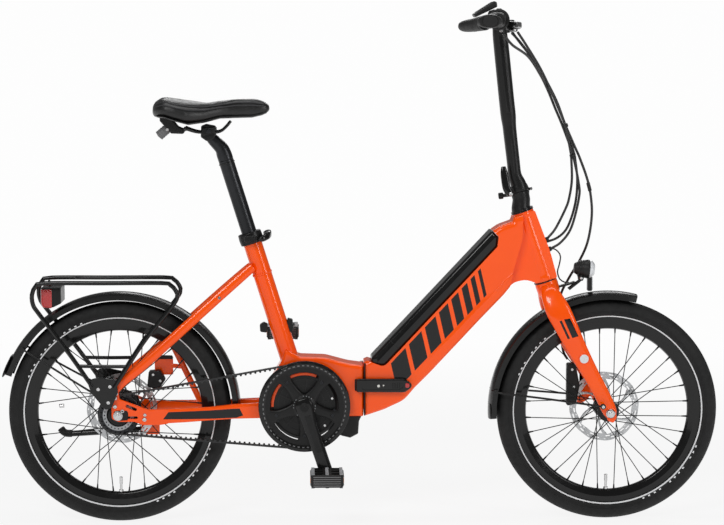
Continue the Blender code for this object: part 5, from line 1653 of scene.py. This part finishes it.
# ---------------------------------------------------------------- fork and front end
def fork():
    top = HEAD_BOTTOM - STEERING_AXIS * 0.6
    crown = turned_round([(0.5, 0, 0.3), (25, 0, 2), (26, -10, 6), (25, -33, 6), (0.5, -35, 0.3)], 64,
                         tuple(top), tuple(STEERING_AXIS))
    legs = []
    for s in (RIGHT, LEFT):
        legs.append(flow([(962, 14 * s, 528, 14, 15), (968, 34 * s, 513, 14, 22),
                          (981, 50 * s, 484, 12, 27), (995, 57 * s, 456, 9.6, 26),
                          (1025, 58 * s, 396, 8.4, 22), (1057, 58 * s, 338, 8, 18),
                          (1082, 58 * s, 292, 8, 17), (1099, 58 * s, 256, 8, 16),
                          (1105, 58 * s, 241, 7.4, 10), (1107, 58 * s, 236, 5, 6)],
                         6, 36, power=0.72, dome=1))
    bore = bar([FRONT_AXLE - Vector((0, 80, 0)), FRONT_AXLE + Vector((0, 80, 0))], 5, 24)
    arch = turned([(0.5, -29.5), (273, -29.5), (273, 29.5), (0.5, 29.5)], 160, FRONT_AXLE)
    shape = cut(union(crown, *legs), bore, arch)
    for facing in (RIGHT, LEFT):
        paint(shape, [(994, 463), (1008, 465), (1027, 425), (1013, 421)], 1, facing)
        paint(shape, [(984, 459), (989, 460.5), (1008, 420), (1003, 418.5)], 1, facing)
    piece("fork_legs", shape, ["orange", "black_gloss"], "steering", "fork", sharp=40)
    steerer = bar([HEAD_BOTTOM - STEERING_AXIS * 6, HEAD_TOP + STEERING_AXIS * 0.8], 14.4, 40)
    piece("steerer_tube", steerer, "dark_metal", "steering")
    race = turned_round([(16, -2.4, 0.5), (27, -2.2, 1), (26.4, -0.3, 0.4), (16, -0.3, 0.4)], 64,
                        tuple(HEAD_BOTTOM), tuple(STEERING_AXIS))
    piece("crown_race", race, "black_gloss", "steering")
    arm = bar(route([(972, 0, 526), (990, 0, 530), (1006, 0, 534), (1026, 0, 540)], 5), (8, 2.4), 16,
              power=0.4, dome=0.8)
    piece("lamp_bracket", arm, "black_satin", "steering")
    wire = bar(route([(1012, 12, 524), (1022, 12, 532), (1034, 10, 541), (1040, 7, 546)], 4), 2, 12,
               dome=0.6)
    other = bar(route([(1012, -12, 524), (1022, -12, 532), (1034, -10, 541), (1040, -7, 546)], 4), 2,
                12, dome=0.6)
    piece("lamp_bracket_wires", join(wire, other), "black_satin", "steering")
    reflectors, rims, tips = [], [], []
    for s in (RIGHT, LEFT):
        face = 66.4 * s
        low, high = sorted((face - 1.5 * s, face + 2.4 * s))
        disc = turned_round([(0.4, low, 0.2), (10, low, 1), (10, high, 1.2), (0.4, high, 0.2)], 48,
                            (1040, 0, 374))
        reflectors.append(disc)
        low, high = sorted((face - 3 * s, face + 1.4 * s))
        rims.append(turned_round([(9.8, low, 0.5), (12, low, 0.8), (12, high, 0.8), (9.8, high, 0.5)],
                                 48, (1040, 0, 374)))
        low, high = sorted((58 * s, 68 * s))
        tips.append(slab([(1091, 262, 4), (1112, 262, 5), (1115, 240, 6), (1107, 228, 5),
                          (1094, 234, 5)], low, high, edge=3))
    tip_bore = bar([FRONT_AXLE - Vector((0, 80, 0)), FRONT_AXLE + Vector((0, 80, 0))], 5, 24)
    piece("fork_tips", cut(join(*tips), tip_bore), "orange", "steering")
    piece("fork_reflectors", join(*reflectors), "clear_lens", "steering")
    piece("fork_reflector_rims", join(*rims), "orange", "steering")
    mount = slab([(1046, 354, 4), (1057, 345, 4), (1044, 300, 4), (1036, 262, 5), (1046, 252, 4),
                  (1064, 262, 3), (1082, 290, 3)], 52.5, 57, edge=1.2)
    piece("caliper_mount", mount, "orange", "steering")


def stem_base():
    start = HEAD_TOP + STEERING_AXIS * 1.4
    base = bar([start, start + STEERING_AXIS * 4, start + STEERING_AXIS * 12,
                POST_SPLIT - SPLIT_NORMAL * 18, POST_SPLIT - SPLIT_NORMAL * 8,
                POST_SPLIT - SPLIT_NORMAL * 0.3],
               [24, 24, 21, 19.8, 20, 20], 56, dome=0.8, ends=(STEERING_AXIS, SPLIT_NORMAL))
    ear_at = POST_SPLIT + (POST_PIN - POST_SPLIT) * 0.62
    ear = bar([ear_at - SPLIT_NORMAL * 14, ear_at - SPLIT_NORMAL * 9, ear_at - SPLIT_NORMAL * 0.6],
              [8.6, 9.8, 11.6], 40, dome=0.6, ends=(SPLIT_NORMAL, SPLIT_NORMAL))
    bore = bar([POST_PIN - POST_FOLD_AXIS * 30, POST_PIN + POST_FOLD_AXIS * 30], 4, 24)
    piece("stem_base_casting", cut(union(base, ear), bore), "black_satin", "steering",
          "stem_base", sharp=35)
    rings = [turned_round([(21, y, 0.3), (25.6, y, 0.8), (25.6, y + 2.4, 0.8), (21, y + 2.4, 0.3)], 64,
                          tuple(HEAD_TOP), tuple(STEERING_AXIS)) for y in (1.6, 4.8)]
    piece("stem_spacers", join(*rings), "black_gloss", "steering")
    stud = bar([(884, 0, 738), (862, 0, 735.6)], 4, 24)
    nut = bar([(863, 0, 735.7), (852, 0, 734.5)], [7.4, 7.4], 24, dome=2.4)
    piece("latch_knob", join(stud, nut), "black_satin", "steering")


def headlight():
    at, axis = (1047, 0, 570), (0.996, 0, -0.09)
    body = turned_round([(0.5, -24, 0.3), (11, -23, 3), (17, -12, 6), (20, 0, 8), (21.4, 7, 2),
                         (21.4, 11, 1.4), (18.6, 11.4, 0.5), (18, 6, 1), (0.5, 5, 0.3)], 64, at, axis)
    fins = [turned_round([(15 + k * 0.9, -14 + 5 * k, 0.3), (18.4 + k * 0.7, -14 + 5 * k, 0.8),
                          (18.6 + k * 0.7, -12 + 5 * k, 0.8), (15 + k * 0.9, -12 + 5 * k, 0.3)], 64, at,
                         axis) for k in range(3)]
    foot = slab([(1032, 556, 2), (1048, 556, 2), (1044, 543, 3), (1034, 543, 3)], -7, 7, edge=1.6)
    piece("headlamp_body", join(body, *fins, foot), "black_plastic", "headlight",
          "headlight", sharp=35)
    piece("headlamp_reflector", turned_round(
        [(0.5, 6.4, 0.2), (8, 7, 2), (17.6, 11.8, 0.6), (17.6, 9, 0.5), (0.5, 5.6, 0.3)], 64, at,
        axis), "mirror", "headlight")
    piece("headlamp_lens", turned_round(
        [(0.4, 24.4, 3), (13, 23, 4), (20.4, 16, 3), (20.6, 11.2, 0.8), (0.4, 11.2, 0.2)], 64, at,
        axis), "clear_lens", "headlight")
    lens = slab([(1057, 552, 1.4), (1066, 551, 1.4), (1066.4, 523, 1.4), (1057, 522, 1.4)], -8.6, 8.6,
                edge=1.4)
    case = slab([(1054.4, 554, 1.6), (1064, 554, 1.6), (1064, 520.4, 1.6), (1054.4, 520.4, 1.6)],
                -10, 10, edge=1.6)
    piece("pendant_reflector", lens, "clear_lens", "headlight")
    piece("pendant_case", case, "black_plastic", "headlight")
    piece("headlamp_bolts", join(*[bolt((1040, 7 * s, 549), 3.4, 1.8, (0, s, 0))
                                   for s in (RIGHT, LEFT)]), "bolt", "headlight")


# ---------------------------------------------------------------- handlepost and handlebar
def handlepost():
    stations = []
    for z, x, w, d in ((0.8, None, 19.6, 19.6), (8, None, 19.6, 19.4), (18, None, 18, 17.6)):
        at = POST_SPLIT + SPLIT_NORMAL * z
        stations.append((at.x, 0, at.z, w, d))
    stations += [(888.6, 0, 782, 16.4, 15.2), (885, 0, 812, 15.8, 14.6), (878, 0, 870, 15.8, 15),
                 (875.4, 0, 893, 16, 15.4), (873, 0, 915, 17, 17), (869, 0, 950, 17, 17),
                 (861, 0, 1025, 17, 17), (854.4, 0, 1086, 17, 16.6), (852, 0, 1108, 16, 15.4),
                 (850.4, 0, 1122, 14, 14)]
    post = flow(stations, 4, 48, power=0.86, dome=0.6)
    ear_at = POST_SPLIT + (POST_PIN - POST_SPLIT) * 0.62
    ear = bar([ear_at + SPLIT_NORMAL * 0.6, ear_at + SPLIT_NORMAL * 9, ear_at + SPLIT_NORMAL * 14],
              [11.6, 9.8, 8.6], 40, dome=0.6, ends=(SPLIT_NORMAL, SPLIT_NORMAL))
    clamp = bar([BAR_CENTRE - Vector((0, 22, 0)), BAR_CENTRE + Vector((0, 22, 0))], 19, 48, dome=2)
    bore = bar([BAR_CENTRE - Vector((0, 30, 0)), BAR_CENTRE + Vector((0, 30, 0))], 11.6, 32)
    pin = bar([POST_PIN - POST_FOLD_AXIS * 30, POST_PIN + POST_FOLD_AXIS * 30], 4, 24)
    piece("handlepost_tube", cut(union(post, ear, clamp), bore, pin), "black_satin", "handlepost",
          "handlepost", sharp=35)
    flutes = []
    for s in (RIGHT, LEFT):
        path = [Vector((x, (r + 0.1) * s, z)) for x, z, r in
                ((872.6, 922, 16.9), (868, 962, 17), (860, 1036, 17), (853.8, 1092, 16.7))]
        flutes.append(bar(path, (0.7, 4.6), 16, power=0.6, dome=0.6))
        path = [Vector((x, (r + 0.1) * s, z)) for x, z, r in
                ((888, 786, 16.2), (885, 812, 15.8), (879.4, 862, 15.8))]
        flutes.append(bar(path, (0.6, 3), 14, power=0.6, dome=0.6))
    piece("handlepost_flutes", join(*flutes), "black_gloss", "handlepost")
    pin = bar([POST_PIN - POST_FOLD_AXIS * 12.8, POST_PIN + POST_FOLD_AXIS * 12.8], 3.7, 24, dome=0.4)
    piece("post_hinge_pin", pin, "bolt", "handlepost")
    plate = []
    for s in (RIGHT, LEFT):
        plate.append(bolt((854, 16.4 * s, 1104), 3.6, 2, (0, s, 0)))
    for x, y in ((1, 10), (1, -10)):
        plate.append(bolt((868.4, y, 1133), 3, 1.6, (0.98, 0, 0.2)))
    piece("stem_clamp_bolts", join(*plate), "bolt", "handlepost")


def post_latch():
    lever = flow([(878, -26, 741, 5.6, 7), (873, -25.6, 745, 6, 8.4), (868, -24.8, 754, 6, 9),
                  (865, -22.4, 771, 6.4, 9), (862.5, -20.4, 788, 6, 8), (861, -19, 802, 4, 5)],
                 5, 28, power=0.7, dome=1.2)
    piece("post_latch_lever", lever, "black_gloss", "post_latch", "post_latch")
    piece("post_latch_bolt", bolt((877, -31.6, 741), 4.4, 2, (0, -1, 0)), "bolt", "post_latch")


def handlebar():
    points = [bar_point(y) for y in (-295, -250, -200, -160, -120, -96, -78, -64, -48, -30, 0, 30, 48,
                                     64, 78, 96, 120, 160, 200, 250, 295)]
    tube = bar(route(points, 9), 11.1, 32, dome=1)
    piece("handlebar_tube", tube, "black_gloss", "handlepost", "handlebar")


def grips():
    for side, name in ((RIGHT, "right"), (LEFT, "left")):
        def at(y, dx=0.0, dz=0.0, half=17.0, high=17.0):
            p = bar_point(y * side, dx, dz)
            return (p.x, p.y, p.z, half, high)
        sleeve = flow([at(168, 0, 0, 16, 16), at(176, 0, 0, 17.6, 17), at(192, -2, 0, 18, 16.6),
                       at(215, -6, -1, 21, 15.4), at(240, -10, -1, 25, 14.4),
                       at(258, -12, -1.4, 27, 13.8), at(276, -11, -1, 25.6, 13.6),
                       at(290, -9, 0, 22, 13.6), at(297, -9, 0, 16, 12)], 5, 40, power=0.8, dome=2)
        bore = bar([bar_point(140 * side), bar_point(293 * side)], 11.5, 32)
        piece(f"{name}_hand_grip", cut(sleeve, bore), "rubber", "handlepost",
              f"{name}_grip", sharp=40)
        ribs = []
        for k in range(12):
            y = (182 + 8.4 * k) * side
            p = bar_point(y, -2 - 0.5 * k, 0)
            reach = 17.3 + 0.55 * min(k, 8)
            arc = [p + Vector((reach * math.cos(t), 0, (16.7 - 0.16 * k) * math.sin(t)))
                   for t in [math.radians(-70 + 14 * j) for j in range(11)]]
            ribs.append(bar(arc, 0.9, 8, dome=0.4))
        piece(f"{name}_grip_ribs", join(*ribs), "rubber", "handlepost")
        ring = bar([bar_point(164 * side), bar_point(171 * side)], 16.8, 40, dome=0.8)
        hole = bar([bar_point(150 * side), bar_point(185 * side)], 11.5, 32)
        piece(f"{name}_grip_clamp", cut(ring, hole), "dark_metal", "handlepost")


def brakes():
    for side, name in ((RIGHT, "right"), (LEFT, "left")):
        def at(y, dx, dz, half, high):
            p = bar_point(y * side, dx, dz)
            return (p.x, p.y, p.z, half, high)
        ring = bar([bar_point(104 * side), bar_point(124 * side)], 16, 40, dome=1.6)
        tank = flow([at(130, 24, -12, 8, 8), at(124, 24, -13, 10.4, 10.4), at(104, 25, -16, 11, 11),
                     at(88, 29, -19, 9, 9), at(74, 32, -22, 6.4, 6.4)], 5, 32, power=0.75, dome=1.4)
        bridge = bar([bar_point(114 * side, 8, -3), bar_point(114 * side, 22, -12)], (7, 8.4), 28,
                     power=0.6)
        hole = bar([bar_point(84 * side), bar_point(150 * side)], 11.5, 32)
        piece(f"{name}_brake_housing", cut(union(ring, tank, bridge), hole), "black_satin",
              "handlepost", f"{name}_brake_body", sharp=35)
        pivot = bar_point(142 * side, 34, -14)
        blade = flow([(pivot.x, pivot.y, pivot.z, 6.6, 6.6), at(150, 41, -13, 5.4, 7.4),
                      at(160, 46, -12, 4.4, 7.4), at(184, 46, -11, 3.6, 7), at(212, 42.6, -9.4, 3.4, 6.6),
                      at(236, 40, -8, 3.6, 6.4), at(246, 41.6, -8, 4, 6.2), at(253, 45, -8, 4, 5)],
                     6, 28, power=0.66, dome=1.4)
        piece(f"{name}_lever_blade", blade, "black_gloss", f"{name}_brake_lever",
              f"{name}_brake_lever")
        piece(f"{name}_lever_pivot", bar([pivot + Vector((0, 0, -10.6)), pivot + Vector((0, 0, 10.6))], 3,
                                         20, dome=0.8), "bolt", f"{name}_brake_lever")
        ears = []
        for lift in (-8.8, 8.8):
            root = bar_point(124 * side, 24, -13)
            ears.append(bar([root + Vector((0, 0, lift)), pivot + Vector((0, 0, lift))],
                            (5.4, 1.1), 20, power=0.7, dome=0.5))
        piece(f"{name}_lever_ears", join(*ears), "black_satin", "handlepost")
        lid = bar([bar_point(120 * side, 24, -2.2), bar_point(94 * side, 27, -6.6)], (7.4, 1.6), 28,
                  power=0.5, dome=0.6)
        piece(f"{name}_tank_lid", lid, "black_plastic", "handlepost")


def shifter():
    profile = []
    for k in range(15):
        y = -13.5 + 27 * k / 14
        profile.append((21.6 + 1.3 * (k % 2), y))
    body = turned([(11.7, -14.5), (20.6, -14.4)] + profile + [(20.6, 14.4), (11.7, 14.5)], 64,
                  tuple(bar_point(-147.5)), (0.151, 0.9876, 0.042))
    piece("twist_grip", body, "rubber", "twist_shifter", "twist_shifter", sharp=30)
    window = bar([bar_point(-136, 0, 22.6), bar_point(-142, 0, 22.6)], (5.6, 1.6), 24, power=0.5,
                 dome=0.5)
    piece("gear_window", window, "screen", "twist_shifter")


def display():
    case = slab([(797, 1142, 3), (801, 1134, 4), (851, 1158, 3), (849.6, 1169, 4), (843, 1171, 4)], 36,
                88, edge=3.4)
    ring = bar([bar_point(40), bar_point(54)], 15, 40, dome=1)
    foot = slab([(829, 1140, 2), (846, 1140, 2), (846, 1153, 2), (833, 1149, 2)], 41, 53, edge=1.6)
    hole = bar([bar_point(20), bar_point(59)], 11.6, 32)
    piece("display_case", cut(union(case, foot, ring), hole), "black_plastic", "handlepost",
          "display", sharp=32)
    a, b = Vector((803, 0, 1145)), Vector((840, 0, 1168.4))
    lean = (b - a).normalized()
    up = Vector((-lean.z, 0, lean.x))
    glass = loft([[p + Vector((0, y, 0)) for p in (a + up * 0.1, b + up * 0.1, b + up * 1.4,
                                                  a + up * 1.4)] for y in (41, 83)])
    piece("display_glass", glass, "screen", "handlepost")


# ---------------------------------------------------------------- hoses
def held_piece(name, points, replaces=(), look="hose", radius=2.9):
    """A stretch of hose on no body, with its placement baked into the mesh."""
    obj = piece(name, bar(route(points, 6), radius, 16, dome=0.8), look, None)
    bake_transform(obj)
    if replaces:
        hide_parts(replaces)
    return obj


def hoses():
    front_upper = [(886, 66, 1100), (905, 52, 1078), (938, 27, 1030), (962, 14, 988), (984, 11, 944),
                   (1002, 10, 896), (1022, 8, 850), (1034, 8, 824)]
    front_lower = [(1034, 8, 824), (1050, 9, 782), (1060, 10, 745), (1066, 20, 692),
                   (1060, 34, 632), (1046, 54, 588), (1022, 74, 541), (1004, 79, 500),
                   (1003, 79, 450), (1006, 77, 405), (1010, 64, 372), (1018, 54, 357)]
    rear_upper = [(886, -66, 1100), (905, -52, 1074), (938, -26, 1026), (961, -12, 984),
                  (983, -9, 938), (1001, -8, 890), (1014, -9, 828)]
    rear_lower = [(1014, -9, 828), (1016, -10, 772), (1010, -11, 730), (1002, -11, 706),
                  (980, -11, 662), (962, -11, 640)]
    shift_upper = [(846, -151, 1096), (866, -140, 1072), (908, -84, 1046), (940, -38, 1006),
                   (962, -2, 970), (978, 0, 932), (994, 0, 895), (1012, 0, 848), (1020, 0, 824)]
    shift_lower = [(1020, 0, 824), (1032, 0, 768), (1034, 0, 732), (1018, 4, 664), (995, 6, 630),
                   (970, 8, 614)]
    lamp_upper = [(870, 52, 1128), (892, 44, 1092), (930, 24, 1040), (962, 6, 984), (984, 4, 936),
                  (1002, 4, 892), (1016, 3, 850), (1024, 3, 824)]
    lamp_lower = [(1024, 3, 824), (1030, 4, 770), (1026, 6, 716), (1010, 10, 664), (988, 12, 640),
                  (959, 12, 629)]
    for name, upper, node in (("front_brake", front_upper, "front_brake_hose"),
                              ("rear_brake", rear_upper, "rear_brake_hose"),
                              ("shift", shift_upper, "shift_cable"), ("display", lamp_upper, ())):
        held_piece(f"{name}_hose_upper", upper, node)
    for name, lower in (("rear_brake", rear_lower), ("shift", shift_lower), ("display", lamp_lower)):
        held_piece(f"{name}_hose_lower", lower,
                   radius=2.8)
    piece("front_brake_hose_lower", bar(route(front_lower, 6), 2.9, 16, dome=0.8), "hose", "steering")
    loop = [(970, 16, 612), (980, 16, 614), (990, 16, 607), (995, 14, 596), (992, 12, 578),
            (988, 10, 562), (993, 8, 546), (1004, 6, 539), (1014, 4, 538)]
    held_piece("lamp_cable", loop, radius=1.6)
    clips = []
    for x, y, z, wide in ((1018, 1, 824, 15.5), (1002, 2, 893, 13)):
        clips.append(bar([(x + 1.4, y, z - 4), (x - 1.4, y, z + 4)], (wide, 5.4), 28, power=0.7,
                         dome=1.4))
    clips.append(bar([(1060, 10, 745), (1055, 9.6, 764)], 4.2, 20, dome=1))
    piece("hose_clips", join(*clips), "black_plastic", "steering")


MAKERS = [front_frame, head_rings, battery, rear_yoke, chainstays, seat_stays, seat_clamp,
          bump_stop, frame_latch, wheels, belt, rear_sprocket, front_pulley, motor, cranks, pedals,
          kickstand, calipers, rack, tail_light, mudguards, seat_post, saddle_rails, saddle,
          tail_bracket, fork, stem_base, headlight, handlepost, post_latch, handlebar, grips,
          brakes, shifter, display, hoses]


# ---------------------------------------------------------------- the whole picture
camera()
studio()
floor()
dress_cad_nodes()
for make in MAKERS:
    make()
